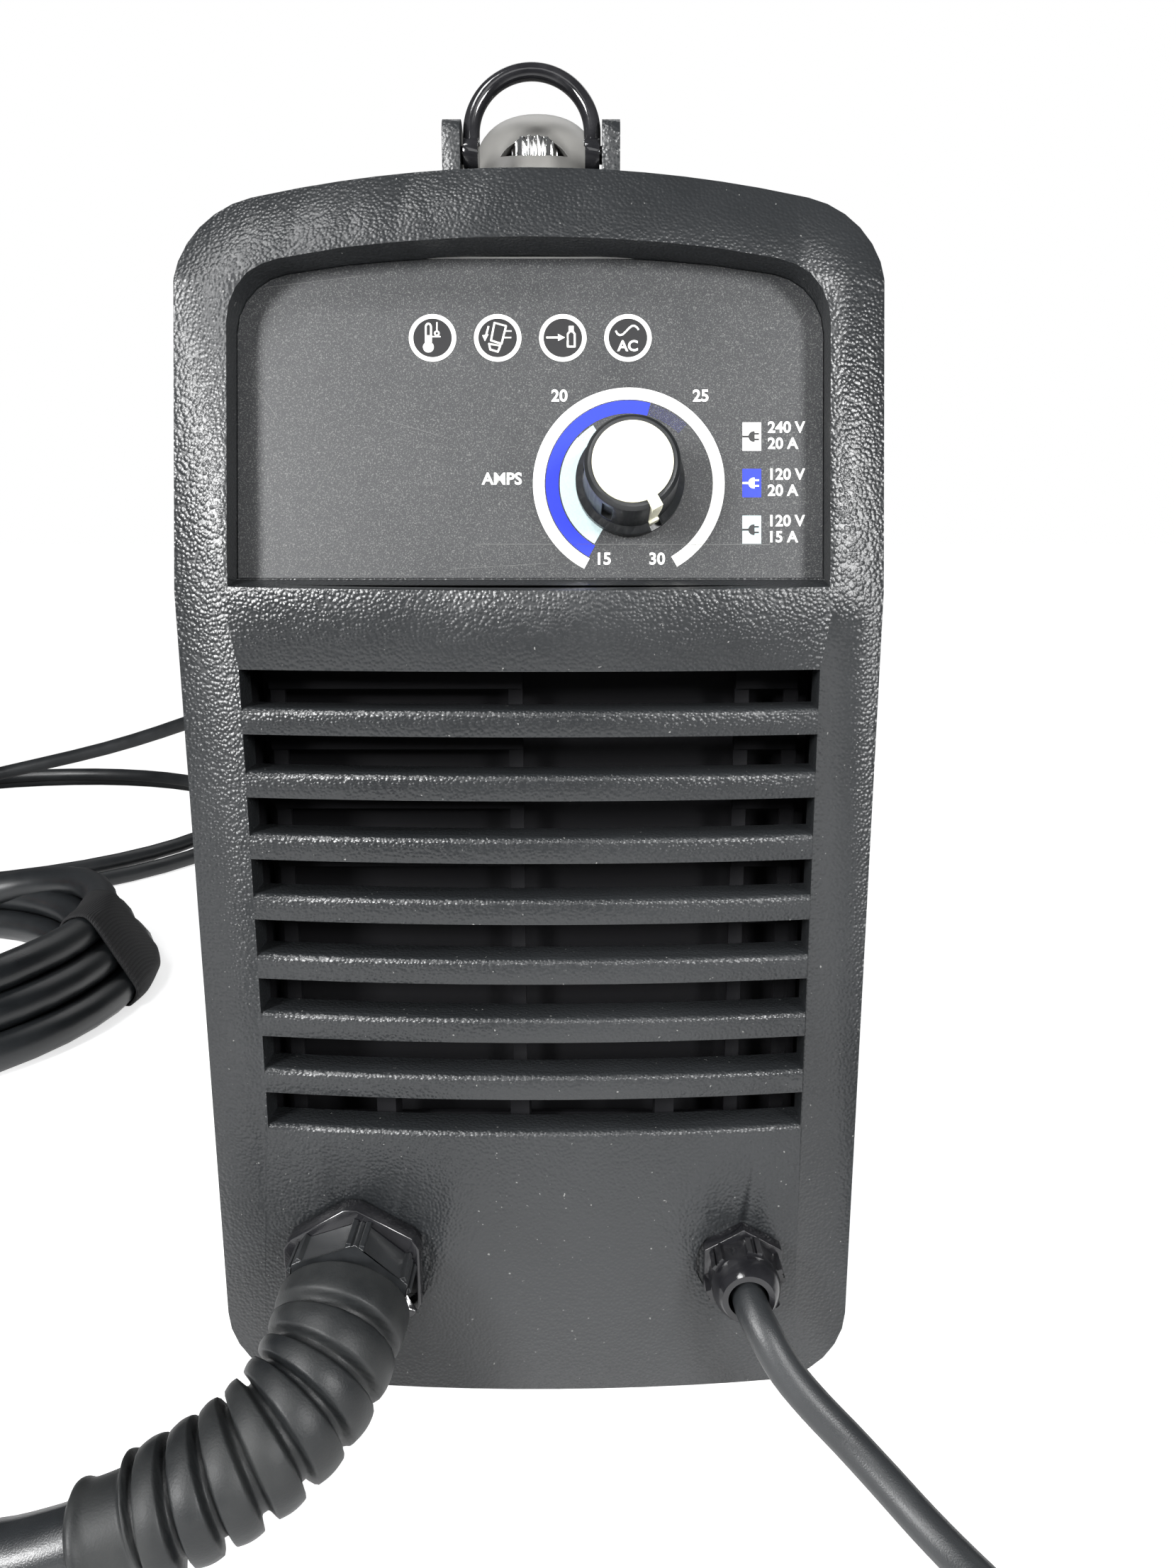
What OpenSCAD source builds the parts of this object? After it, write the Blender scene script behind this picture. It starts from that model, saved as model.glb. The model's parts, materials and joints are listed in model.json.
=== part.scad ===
// Compact inverter plasma cutter: moulded front and rear bezels on a sheet-metal
// case, with its hand torch, work clamp, three leads and the working parts inside.
// Millimetres. Front faces -Y, +Z up, origin on the ground under the middle of the case.

/* [Case] */
// Width of the moulded front
body_w = 160; // [150:1:175]
// Height of the moulded front, without its feet
front_h = 297; // [285:1:310]
// Distance from the front's lower edge to the back face
body_d = 325; // [300:1:350]
// Height of the rubber feet under the front
foot_h = 6; // [4:1:10]
// How far the front bows out at its middle
bow = 6; // [3:0.5:10]
// Lean of the control panel from upright, degrees
panel_lean = 12; // [6:1:18]
// Lean of the band over the panel, degrees
band_lean = 32; // [20:1:40]
// Wall of the mouldings
wall = 3; // [2.5:0.5:4]
// Sheet-metal thickness
sheet = 1.2; // [1:0.1:2]

/* [Louvres] */
// Number of air openings
louvre_count = 8; // [6:1:8]
// Distance from one opening to the next
louvre_pitch = 14.9; // [14:0.1:15.5]
// Height of one opening
louvre_gap = 8.4; // [7:0.1:9.5]
// Depth of the bars
louvre_depth = 9; // [6:0.5:12]

/* [Controls] */
// Diameter of the amperage knob's skirt
knob_d = 24.9; // [22:0.1:28]
// Height of the knob
knob_h = 18.6; // [14:0.1:20]
// Diameter of one indicator window
lamp_d = 11; // [9:0.1:12]
// Distance between the indicator windows
lamp_pitch = 15; // [13:0.1:16]

/* [Leads] */
// Diameter of the torch lead
torch_lead_d = 16; // [14:0.5:18]
// Diameter of the work lead
work_lead_d = 8.5; // [8:0.5:11]
// Diameter of the power cord
power_cord_d = 10; // [8:0.5:12]

/* [Carrying] */
// Width of the handle
handle_w = 33; // [28:1:38]
// Thickness of the strap loop's rod
bail_rod = 4; // [3:0.5:5]
// How far the strap loop leans back at rest, degrees
bail_lean = 10; // [6:1:14]

/* [Hidden] */
$fn = 48;

// Colours
C_MOULD = [0.10, 0.11, 0.11];
C_RUBBER = [0.07, 0.07, 0.07];
C_STEEL = [0.72, 0.72, 0.74];
C_BRASS = [0.78, 0.62, 0.30];
C_COPPER = [0.76, 0.46, 0.30];
C_CREAM = [0.88, 0.86, 0.78];
C_BOARD = [0.10, 0.32, 0.18];

// Main heights and depths
half_w = body_w / 2;
z_low = foot_h;
z_top = foot_h + front_h;
y_front = -165;
y_crown = y_front - bow;
bow_r = (half_w * half_w + bow * bow) / (2 * bow);
z_mid_crease = 209.5;
z_top_crease = 280;
y_top_crease = y_crown + (z_top_crease - z_mid_crease) * tan(panel_lean);
bezel_back = -123;
rear_front = 128;
y_back = y_front + body_d;
case_top = 286;
case_side = half_w - 3.5;
crown_r = 330;
corner_r = 20;
foot_corner_r = 18;
run_fit = 0.05;
tray_z = z_low + 2;

// Places of the rubber feet and their studs
foot_x = 58;
FOOT_Y = [-100, 105];
foot_stud_r = 2.15;

// Points of an arc about a centre, from one angle to another
function arc(cx, cz, r, a0, a1, n) =
  [for (i = [0:n]) let (a = a0 + (a1 - a0) * i / n) [cx + r * cos(a), cz + r * sin(a)]];

// Front outline, drawn in from the edge by an inset
function outline_pts(i) =
  let (
    cz = z_top - crown_r,
    kx = half_w - corner_r,
    kz = cz + sqrt(pow(crown_r - corner_r, 2) - kx * kx),
    a = atan2(kz - cz, kx),
    fx = half_w - foot_corner_r,
    fz = z_low + foot_corner_r
  )
  concat(
    arc(fx, fz, foot_corner_r - i, -90, 0, 6),
    arc(kx, kz, corner_r - i, 0, a, 6),
    arc(0, cz, crown_r - i, a + 2, 178 - a, 12),
    arc(-kx, kz, corner_r - i, 180 - a, 180, 6),
    arc(-fx, fz, foot_corner_r - i, 180, 270, 6));

// Stands a drawing made in X and Z up, and pushes it from y0 back to y1
module push(y0, y1) {
  translate([0, y1, 0]) rotate([90, 0, 0]) linear_extrude(y1 - y0) children();
}

// The bowed face of the front: upright below, leaning at the panel and at the band
module bow_cylinder(inset) {
  translate([0, bow_r, 0]) cylinder(r = bow_r - inset, h = 900, center = true, $fn = 360);
}

module front_block(inset, y1) {
  intersection() {
    push(y_crown - 5, y1) polygon(outline_pts(inset));
    translate([0, y_crown, z_mid_crease]) bow_cylinder(inset);
    translate([0, y_crown, z_mid_crease]) rotate([-panel_lean, 0, 0]) bow_cylinder(inset);
    translate([0, y_top_crease, z_top_crease]) rotate([-band_lean, 0, 0]) bow_cylinder(inset);
  }
}

// The control panel's own frame: origin on the mid crease, x across, y back, z up the panel
module on_panel() {
  translate([0, y_crown, z_mid_crease]) rotate([-panel_lean, 0, 0]) children();
}

recess_half = 67.6;
recess_low = 4.5;
recess_high = 78.8;
label_depth = 12.2;
label_t = 0.6;
knob_x = 22.9;
knob_z = 26.6;
lamp_z = 59.9;
lamp_x0 = -1.5 * lamp_pitch;
pot_hole_r = 4.2;

// Outline of the recess on the panel, drawn in by an inset
module recess_outline(i) {
  r = 14 - i;
  kx = recess_half - 14;
  polygon(concat(
    [[-recess_half + i, recess_low + i], [recess_half - i, recess_low + i]],
    arc(kx, recess_high - 18, r, 0, 80, 5),
    arc(0, recess_high - 420, 420 - i, 90 - kx / 420 * 45, 90 + kx / 420 * 45, 8),
    arc(-kx, recess_high - 18, r, 100, 180, 5)));
}

module panel_push(y0, y1) {
  on_panel() push(y0, y1) children();
}

first_gap_top = 191.2;
louvre_half = 66;
louvre_low = first_gap_top - (louvre_count - 1) * louvre_pitch - louvre_gap;

// One air opening: its floor is rounded over at the front, and it follows the bow
module louvre_cut(i) {
  z1 = first_gap_top - i * louvre_pitch;
  z0 = z1 - louvre_gap;
  intersection() {
    translate([0, y_crown + bow_r, 0]) rotate([0, 0, -100]) rotate_extrude(angle = 20, $fn = 360)
      polygon(concat([[bow_r - 20, z0], [bow_r - 20, z1], [bow_r + 4, z1 + 0.3],
        [bow_r + 4, z0 - 1.6]], arc(bow_r - 1.6, z0 - 1.6, 1.6, 0, 90, 4)));
    translate([-louvre_half, y_crown - 6, z0 - 4]) cube([2 * louvre_half, 40, louvre_gap + 8]);
  }
}

groove_x = 69.5;
groove_w = 2;
gland_z = 41.5;
torch_gland_x = -45;
work_gland_x = 52;
torch_hole_r = 12;
work_hole_r = 6.5;
// Flat seats faced into the bowed front under the glands
torch_seat = y_crown + 1.15;
torch_face_r = 18.7;
work_seat = y_crown + 2.7;
work_face_r = 11.4;

// Ears for the strap loop, on the crown behind the band
ear_y = -129;
ear_w = 9;
ear_x = 16.6;
ear_t = 4.2;
ear_top = 316.6;
bail_z = 309;
ear_bore_r = bail_rod / 2 + run_fit;

module ear(side) {
  x0 = side > 0 ? ear_x : -ear_x - ear_t;
  difference() {
    union() {
      translate([x0, ear_y - ear_w / 2, z_top - 6]) cube([ear_t, ear_w, ear_top - ear_w / 2 - z_top + 6]);
      translate([x0, ear_y, ear_top - ear_w / 2]) rotate([0, 90, 0]) cylinder(d = ear_w, h = ear_t);
    }
    translate([x0 - 1, ear_y, bail_z]) rotate([0, 90, 0]) cylinder(r = ear_bore_r, h = ear_t + 2);
  }
}

pocket_wall = 2.5;
cavity_top = 282;

module front_bezel() {
  color(C_MOULD) {
    difference() {
      union() {
        difference() {
          front_block(0, bezel_back);
          // hollow behind the face, left thick where the louvre bars are
          intersection() {
            front_block(wall, bezel_back + 1);
            translate([-half_w, -200, 0]) cube([body_w, 100, cavity_top]);
            union() {
              front_block(louvre_depth, bezel_back + 1);
              translate([-half_w, -200, 0]) cube([body_w, 100, louvre_low - 6]);
              translate([-half_w, -200, first_gap_top + 5]) cube([body_w, 100, 200]);
            }
          }
        }
        // back and sides of the control recess
        intersection() {
          front_block(0, bezel_back);
          panel_push(-10, label_depth + label_t + pocket_wall) recess_outline(-pocket_wall);
        }
      }
      panel_push(-20, label_depth + label_t) recess_outline(0);
      for (i = [0:louvre_count - 1]) louvre_cut(i);
      for (s = [-1, 1]) {
        translate([s * groove_x - groove_w / 2, y_crown - 4, z_low - 1])
          cube([groove_w, 7.2, z_mid_crease - 3 - z_low]);
        translate([s * groove_x, y_crown - 4, z_mid_crease - 4]) rotate([-90, 0, 0])
          cylinder(d = groove_w, h = 7.2);
      }
      for (g = [[torch_gland_x, torch_hole_r, torch_seat, torch_face_r],
        [work_gland_x, work_hole_r, work_seat, work_face_r]]) {
        translate([g[0], -190, gland_z]) rotate([-90, 0, 0]) cylinder(r = g[1], h = 60);
        translate([g[0], g[2], gland_z]) rotate([90, 0, 0]) cylinder(r = g[3], h = 10);
      }
      on_panel() translate([knob_x, 0, knob_z]) rotate([-90, 0, 0]) cylinder(r = pot_hole_r, h = 40);
    }
    for (s = [-1, 1]) ear(s);
  }
}

module control_label() {
  color([0.16, 0.16, 0.17]) difference() {
    panel_push(label_depth, label_depth + label_t) recess_outline(0.2);
    on_panel() {
      translate([knob_x, 0, knob_z]) rotate([-90, 0, 0]) cylinder(r = pot_hole_r, h = 40);
      for (i = [0:3]) translate([lamp_x0 + i * lamp_pitch, 0, lamp_z]) rotate([-90, 0, 0])
        cylinder(d = lamp_d + 0.1, h = 40);
    }
  }
}

module indicator_windows() {
  color([0.85, 0.84, 0.78]) on_panel() for (i = [0:3])
    translate([lamp_x0 + i * lamp_pitch, label_depth, lamp_z]) rotate([-90, 0, 0])
      cylinder(d = lamp_d, h = label_t);
}

// Puts a turned shape on the knob's axis, its z pointing out of the panel
module on_dial() {
  on_panel() translate([knob_x, label_depth, knob_z]) rotate([90, 0, 0]) children();
}

knob_gap = 0.6;
shaft_r = 3;
cap_r = 8.8;
pointer_turn = -61;
grip_notches = 5;

module dial_knob() {
  body_r = knob_d / 2 - 1.6;
  color(C_RUBBER) on_dial() difference() {
    rotate_extrude() polygon([[shaft_r, knob_gap], [knob_d / 2, knob_gap], [knob_d / 2, knob_gap + 2.4],
      [body_r, knob_gap + 3.6], [body_r - 0.4, knob_h - 0.9], [body_r - 1.2, knob_h],
      [cap_r + 0.05, knob_h], [cap_r + 0.05, knob_h - 1.4], [shaft_r, knob_h - 1.4]]);
    for (i = [1:grip_notches]) rotate([0, 0, pointer_turn + i * 360 / (grip_notches + 1)])
      translate([body_r - 1.3, -1.35, knob_gap + 5]) cube([3, 2.7, knob_h - 8.4]);
    rotate([0, 0, pointer_turn]) translate([cap_r - 0.8, -1.35, knob_gap + 1]) cube([8, 2.7, knob_h]);
  }
}

module dial_cap() {
  color(C_CREAM) on_dial() {
    translate([0, 0, knob_h - 1.4]) cylinder(r = cap_r, h = 1.8);
    rotate([0, 0, pointer_turn]) difference() {
      translate([cap_r - 0.6, -1.25, knob_gap + 1.1])
        cube([knob_d / 2 - cap_r - 0.6, 2.5, knob_h - knob_gap - 0.9]);
      translate([knob_d / 2 - 1.9, -2, knob_gap + 4]) rotate([0, 4, 0]) cube([6, 4, knob_h]);
    }
  }
}

pot_y = label_t + pocket_wall;

module dial_shaft() {
  color(C_STEEL) on_dial() translate([0, 0, -pot_y - 6]) cylinder(r = shaft_r, h = pot_y + 6 + knob_h - 1.4);
}

module potentiometer() {
  color(C_BRASS) on_dial() difference() {
    union() {
      translate([0, 0, -pot_y - 9]) cylinder(r = 8, h = 9);
      translate([0, 0, -pot_y]) cylinder(r = 3.9, h = pot_y);
    }
    translate([0, 0, -pot_y - 6]) cylinder(r = shaft_r + run_fit, h = 20);
  }
}

module control_board() {
  color(C_BOARD) on_panel() difference() {
    translate([-58, label_depth + pot_y + 9, 6]) cube([116, board_t, 62]);
    for (x = [-52, 52]) translate([x, 20, 12]) rotate([-90, 0, 0]) cylinder(r = 1.6, h = 30);
  }
}

// Slotted plate behind the louvres, with stiffening ribs at its foot
baffle_y = -150.5;
rail_h = 6;
rail_low = louvre_low - 6.2 - rail_h;
rail_high = first_gap_top + 5.2;
// Left end and length of the slats in each row, their height and the plate's thickness
SLATS = [[-64, 61.4], [49, 15]];
slat_h = 7.2;
baffle_t = 1.5;
RIB_X = [-38, -4, 32.7];
rib_w = 4.8;
module inner_baffle() {
  color(C_RUBBER) {
    for (i = [0:5], slat = SLATS) translate([slat[0], baffle_y, first_gap_top - 6.4 - i * louvre_pitch])
      cube([slat[1], baffle_t, slat_h]);
    for (x = [-64, -6.1, 49, 61]) translate([x, baffle_y + baffle_t, rail_low])
      cube([3.5, baffle_t, rail_high - rail_low]);
    for (z = [rail_low, rail_high]) translate([wall + run_fit - half_w, baffle_y + baffle_t, z])
      cube([body_w - 2 * (wall + run_fit), baffle_t, rail_h]);
    for (x = RIB_X) translate([x - rib_w / 2, baffle_y - 8, rail_low]) cube([rib_w, 8 + 1.6, 19]);
  }
}

// Tray that the works stand on, with turned-up sides
tray_gap = 0.2;
module base_tray() {
  flange = 16;
  tray_side = case_side - sheet - tray_gap;
  tray_l = rear_front - bezel_back - 2 * tray_gap;
  color(C_STEEL) difference() {
    union() {
      translate([-tray_side, bezel_back + tray_gap, tray_z]) cube([2 * tray_side, tray_l, sheet]);
      for (x = [-tray_side, tray_side - sheet]) translate([x, bezel_back + tray_gap, tray_z])
        cube([sheet, tray_l, flange]);
    }
    for (x = [-foot_x, foot_x], y = FOOT_Y)
      translate([x, y, tray_z - 1]) cylinder(r = foot_stud_r + run_fit, h = 5);
  }
}

// Case cover: a sheet bent over the top and down both sides
module case_cover() {
  r = 14;
  color(C_MOULD) difference() {
    push(bezel_back, rear_front) difference() {
      polygon(concat(arc(case_side - r, case_top - r, r, 0, 90, 8),
        arc(r - case_side, case_top - r, r, 90, 180, 8), [[-case_side, tray_z], [case_side, tray_z]]));
      polygon(concat(arc(case_side - r, case_top - r, r - sheet, 0, 90, 8),
        arc(r - case_side, case_top - r, r - sheet, 90, 180, 8),
        [[-case_side + sheet, tray_z - 1], [case_side - sheet, tray_z - 1]]));
    }
    for (s = [-1, 1], y = [40, 52, 64, 76, 88], z = [60:14:130]) translate([s * case_side, y, z])
      rotate([0, 90, 0]) cylinder(d = 7, h = 8, center = true);
    for (y = [bolt_y, rear_bolt_y]) translate([0, y, case_top - 5]) cylinder(r = shank_r + run_fit, h = 10);
  }
}

module case_screws() {
  color(C_STEEL) for (s = [-1, 1], y = [-108, 113], z = [24, 150, 262])
    translate([s * case_side, y, z]) rotate([0, s * 90, 0]) difference() {
      rotate_extrude() polygon([[0, 0], [4, 0], [4, 0.8], [3, 1.9], [0, 2.2]]);
      translate([0, 0, 1]) cylinder(r = 1.5, h = 3, $fn = 6);
    }
}

fan_z = 76;
switch_x = 34;
switch_z = 244;
gland_rear_x = -38;
gland_rear_z = 236;
inlet_x = 36;
inlet_z = 176;

module rear_bezel() {
  color(C_MOULD) difference() {
    push(rear_front, y_back) polygon(outline_pts(0));
    push(rear_front - 1, y_back - wall) intersection() {
      polygon(outline_pts(wall));
      translate([-half_w, 0]) square([body_w, cavity_top]);
    }
    // intake grille
    for (r = [14, 24, 34]) push(y_back - wall - 1, y_back + 1) translate([0, fan_z]) difference() {
      circle(r = r + 3);
      circle(r = r - 3);
      for (a = [45, 135]) rotate(a) square([100, 6], center = true);
    }
    translate([switch_x - 10.7, y_back - 10, switch_z - 14.2]) cube([21.4, 20, 28.4]);
    translate([gland_rear_x, y_back - 10, gland_rear_z]) rotate([-90, 0, 0]) cylinder(r = 8, h = 20);
    translate([inlet_x, y_back - 10, inlet_z]) rotate([-90, 0, 0]) cylinder(r = 7, h = 20);
  }
}

module rubber_feet() {
  color(C_RUBBER) for (x = [-foot_x, foot_x], y = FOOT_Y) translate([x, y, 0]) {
    rotate_extrude() polygon([[0, 0.6], [3, 0], [8, 0], [9, 1], [9, tray_z], [0, tray_z]]);
    cylinder(r = foot_stud_r, h = tray_z + 3);
  }
}

// Handle: stations along it give the place, the lean of the section and its thickness
HANDLE = [[-108.5, case_top, 0, 24], [-108.5, 299, 0, 24], [-107.4, 306, 12, 24], [-102.5, 313.5, 36, 22.5],
  [-93.5, 318.3, 60, 20.5], [-80, 321.8, 74, 20], [-60, 326.3, 78, 20], [-30, 331.3, 84, 20],
  [0, 333.5, 90, 20], [30, 333.5, 92, 20], [60, 331, 97, 20], [82, 327, 107, 20.5],
  [98, 319, 125, 22], [107, 308, 150, 23.5], [110, 298, 175, 24], [110.5, case_top, 180, 24]];

function super(a, e) = let (c = cos(a), s = sin(a))
  [sign(c) * pow(abs(c), 2 / e), sign(s) * pow(abs(s), 2 / e)];

// Skin through rings of equal point count, closed at both ends
module skin(rings) {
  n = len(rings[0]);
  m = len(rings);
  polyhedron(
    points = [for (r = rings, p = r) p],
    faces = concat(
      [[for (j = [0:n - 1]) j]],
      [[for (j = [n - 1:-1:0]) (m - 1) * n + j]],
      [for (i = [0:m - 2], j = [0:n - 1]) [i * n + j, (i + 1) * n + j, (i + 1) * n + (j + 1) % n]],
      [for (i = [0:m - 2], j = [0:n - 1]) [i * n + j, (i + 1) * n + (j + 1) % n, i * n + (j + 1) % n]]));
}

bolt_y = -111.4;
rear_bolt_y = 108.5;
shank_r = 2.5;
shank_z = case_top - 4;
bolt_z = 310.8;
bolt_r = 5.9;
pocket_r = 7.1;
pocket_h = 6.2;

module carry_handle() {
  sides = 20;
  color([0.36, 0.36, 0.36]) difference() {
    skin([for (h = HANDLE) [for (k = [0:sides - 1]) let (p = super(-k * 360 / sides, 2.5))
      [p[0] * handle_w / 2, h[0] - p[1] * h[3] / 2 * cos(h[2]), h[1] + p[1] * h[3] / 2 * sin(h[2])]]]);
    // half-moon window in the front foot, over the bolt's head
    translate([0, bolt_y - 12, bolt_z]) intersection() {
      rotate([-90, 0, 0]) cylinder(r = pocket_r, h = 18.5);
      translate([-20, -1, 0]) cube([40, 30, pocket_h]);
    }
    translate([0, bolt_y, shank_z]) cylinder(r = shank_r + run_fit, h = bolt_z - shank_z + 1);
    translate([0, rear_bolt_y, shank_z]) cylinder(r = shank_r + run_fit, h = 20);
  }
}

// Fluted socket bolts that hold the handle's feet
module handle_bolts() {
  color(C_STEEL) {
    translate([0, bolt_y, bolt_z]) intersection() {
      difference() {
        cylinder(r = bolt_r, h = pocket_h - 0.2);
        for (i = [0:15]) rotate([0, 0, i * 22.5]) translate([bolt_r, 0, -1]) cylinder(r = 0.8, h = 9, $fn = 13);
      }
      translate([0, -10, 0]) rotate([-90, 0, 0]) cylinder(r = pocket_r - 0.1, h = 20);
    }
    translate([0, bolt_y, shank_z]) cylinder(r = shank_r, h = bolt_z - shank_z);
    translate([0, rear_bolt_y, shank_z]) cylinder(r = shank_r, h = 20);
    for (y = [bolt_y, rear_bolt_y]) translate([0, y, shank_z])
      cylinder(r = 4.6, h = case_top - sheet - shank_z, $fn = 6);
  }
}

// Loop for a shoulder strap: a half ring on two flattened eyes, whose pins turn in the ears
eye_r = 3.6;
eye_w = 3.4;
module strap_bail() {
  arch_r = ear_x - 0.3 - bail_rod / 2;
  foot_z = 2.4;
  arch_z = 5;
  color(C_RUBBER) translate([0, ear_y, bail_z]) rotate([-bail_lean, 0, 0]) {
    translate([0, 0, arch_z]) rotate([90, 0, 0]) rotate_extrude(angle = 180, $fn = 96) translate([arch_r, 0])
      circle(d = bail_rod);
    for (s = [-1, 1]) {
      translate([s * arch_r, 0, foot_z]) cylinder(d = bail_rod, h = arch_z - foot_z);
      translate([s * arch_r - eye_w / 2, 0, 0]) rotate([0, 90, 0]) cylinder(r = eye_r, h = eye_w);
      translate([s > 0 ? arch_r : -arch_r - ear_t - 2, 0, 0]) rotate([0, 90, 0])
        cylinder(d = bail_rod, h = ear_t + 2);
    }
  }
}

fan_w = 92;
fan_y = y_back - wall - 25;
module fan_frame() {
  color(C_RUBBER) translate([0, fan_y, fan_z]) difference() {
    push(0, 25) difference() {
      square(fan_w, center = true);
      circle(r = 42);
      for (x = [-41, 41], z = [-41, 41]) translate([x, z]) circle(r = 2.2);
    }
    translate([-60, 4, -41 + 8]) cube([120, 17, 66]);
  }
  color(C_RUBBER) translate([0, fan_y, fan_z]) {
    for (a = [0, 90]) push(22, 25) rotate(a + 45) square([90, 3], center = true);
    difference() {
      push(5, 25) circle(r = 4);
      push(4, 21) circle(r = 2.5 + run_fit);
    }
    for (s = [-1, 1]) translate([s * 45.2 - 0.8, 4, -34]) cube([1.6, 17, 68]);
  }
}

module fan_rotor() {
  color([0.2, 0.2, 0.2]) translate([0, fan_y, fan_z]) {
    difference() {
      push(3, 20) circle(r = 18);
      push(4.9, 21) circle(r = 15);
    }
    push(3, 20) circle(r = 2.5);
    for (i = [0:6]) rotate([0, i * 360 / 7, 0]) translate([28.5, 11, 0]) rotate([32, 0, 0])
      cube([23, 15, 1.6], center = true);
  }
}

// Power board on four pillars, over its heatsink
board_z = 84;
board_t = 1.6;
module power_board() {
  color(C_BOARD) difference() {
    translate([-66, -95, board_z]) cube([132, 180, board_t]);
    for (x = [-60, 60], y = [-88, 78]) translate([x, y, board_z - 4]) cylinder(r = 2, h = 8);
  }
  color(C_STEEL) for (x = [-60, 60], y = [-88, 78]) translate([x, y, core_z])
    cylinder(r = 3, h = board_z - core_z);
}

module heatsink() {
  color([0.7, 0.71, 0.72]) {
    translate([-56, -80, board_z - 8]) cube([52, 150, 8]);
    for (i = [0:8]) translate([-56 + i * 6.25, -80, 26]) cube([2, 150, 50.5]);
  }
}

module capacitors() {
  color([0.16, 0.2, 0.34]) for (x = [-42, 0, 42]) translate([x, -50, board_z + board_t]) rotate_extrude()
    polygon([[0, 0], [16, 0], [17, 1], [17, 52], [16, 53.5], [0, 53.5]]);
}

core_x = 34;
core_y = -30;
core_z = tray_z + sheet;
module transformer_core() {
  color([0.28, 0.28, 0.3]) translate([core_x - 26, core_y - 12, core_z]) difference() {
    cube([52, 24, 58]);
    for (x = [8, 30]) translate([x, -1, 9]) cube([14, 26, 40]);
  }
}

module transformer_coils() {
  color(C_COPPER) translate([core_x, core_y, core_z + 9.2]) difference() {
    push_box([28, 46, 39.6]);
    push_box([8.4, 24.4, 60]);
  }
}

// Upright block centred on X and Y
module push_box(size) {
  translate([-size[0] / 2, -size[1] / 2, 0]) cube(size);
}

module gas_valve() {
  color(C_BRASS) translate([36, 30, core_z]) {
    push_box([24, 30, 22]);
    translate([0, 0, 22]) cylinder(r = 9, h = 26);
  }
}

filter_y = 104;
module air_filter() {
  color([0.8, 0.8, 0.82]) {
    translate([inlet_x, filter_y, inlet_z - 52]) cylinder(r = 15, h = 40);
    translate([inlet_x, filter_y, inlet_z - 12]) cylinder(r = 12, h = 24);
    translate([inlet_x, filter_y, inlet_z]) rotate([-90, 0, 0]) cylinder(r = 8, h = 16);
  }
}

module gas_inlet() {
  color(C_BRASS) translate([inlet_x, 0, inlet_z]) rotate([-90, 0, 0]) {
    translate([0, 0, filter_y + 16]) cylinder(r = 6.9, h = y_back - filter_y - 16);
    translate([0, 0, y_back]) cylinder(r = 10, h = 5, $fn = 6);
    translate([0, 0, y_back + 5]) rotate_extrude() polygon([[2.5, 0], [6, 0], [6, 1], [4.4, 2], [4.4, 4],
      [5, 4.5], [5, 6], [2.5, 6]]);
  }
}

module switch_housing() {
  color(C_RUBBER) translate([switch_x, 0, switch_z]) difference() {
    union() {
      translate([-10.5, y_back - 22, -14]) cube([21, 22, 28]);
      translate([-12.5, y_back, -16]) cube([25, 2, 32]);
    }
    translate([-8, y_back - 12, -12]) cube([16, 20, 24]);
    translate([-11, y_back - 4, 0]) rotate([0, 90, 0]) cylinder(r = 1.5 + run_fit, h = 22);
  }
}

// Rocker: two flats at 20 degrees about a cross pin, stored with its lower half in
module switch_rocker() {
  color([0.15, 0.15, 0.15]) translate([switch_x, y_back - 4, switch_z]) rotate([-10, 0, 0]) {
    difference() {
      translate([-7.6, -5, -10.6]) cube([15.2, 13, 21.2]);
      for (s = [0, 1]) mirror([0, 0, s]) translate([-10, 6.4, 0]) rotate([-10 - 8, 0, 0])
        cube([20, 10, 20]);
    }
    translate([-10, 0, 0]) rotate([0, 90, 0]) cylinder(r = 1.5, h = 20);
  }
}

// Turned cable gland on an axis out of a wall
module gland(hex_d, hex_h, nut_d, nut_h, bore_r) {
  difference() {
    union() {
      cylinder(d = hex_d, h = hex_h, $fn = 6);
      translate([0, 0, hex_h]) rotate_extrude() polygon([[0, 0], [nut_d / 2, 0], [nut_d / 2, nut_h * 0.55],
        [nut_d / 2 - 1.2, nut_h * 0.8], [nut_d / 2 - 3, nut_h], [0, nut_h]]);
    }
    translate([0, 0, -1]) cylinder(r = bore_r, h = hex_h + nut_h + 2);
  }
}

module power_gland() {
  color(C_RUBBER) translate([gland_rear_x, y_back, gland_rear_z]) rotate([-90, 0, 0]) {
    gland(23, 5, 19, 14, power_cord_d / 2);
    translate([0, 0, -12]) difference() {
      cylinder(r = 7.9, h = 12);
      translate([0, 0, -1]) cylinder(r = power_cord_d / 2, h = 14);
    }
  }
}

// Catmull-Rom curve through a route, n pieces to a stretch
function cr(a, b, c, d, t) = 0.5 * (2 * b + (c - a) * t + (2 * a - 5 * b + 4 * c - d) * t * t
  + (3 * b - a - 3 * c + d) * t * t * t);
function smooth_route(p, n) = let (m = len(p)) concat([for (i = [0:m - 2], k = [0:n - 1])
  cr(p[max(i - 1, 0)], p[i], p[i + 1], p[min(i + 2, m - 1)], k / n)], [p[m - 1]]);
function unit(v) = v / norm(v);

// Rings of a round tube along a curve; radii has one value for each ring
function tube_rings(c, radii, sides) = [for (i = [0:len(c) - 1])
  let (
    t = unit(c[min(i + 1, len(c) - 1)] - c[max(i - 1, 0)]),
    s = unit(cross(t, [0, 0, 1])),
    u = cross(s, t)
  )
  [for (k = [0:sides - 1]) c[i] + radii[i] * (cos(k * 360 / sides) * s + sin(k * 360 / sides) * u)]];

module tube(route, d, n = 2, sides = 10) {
  c = smooth_route(route, n);
  skin(tube_rings(c, [for (p = c) d / 2], sides));
}

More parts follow.
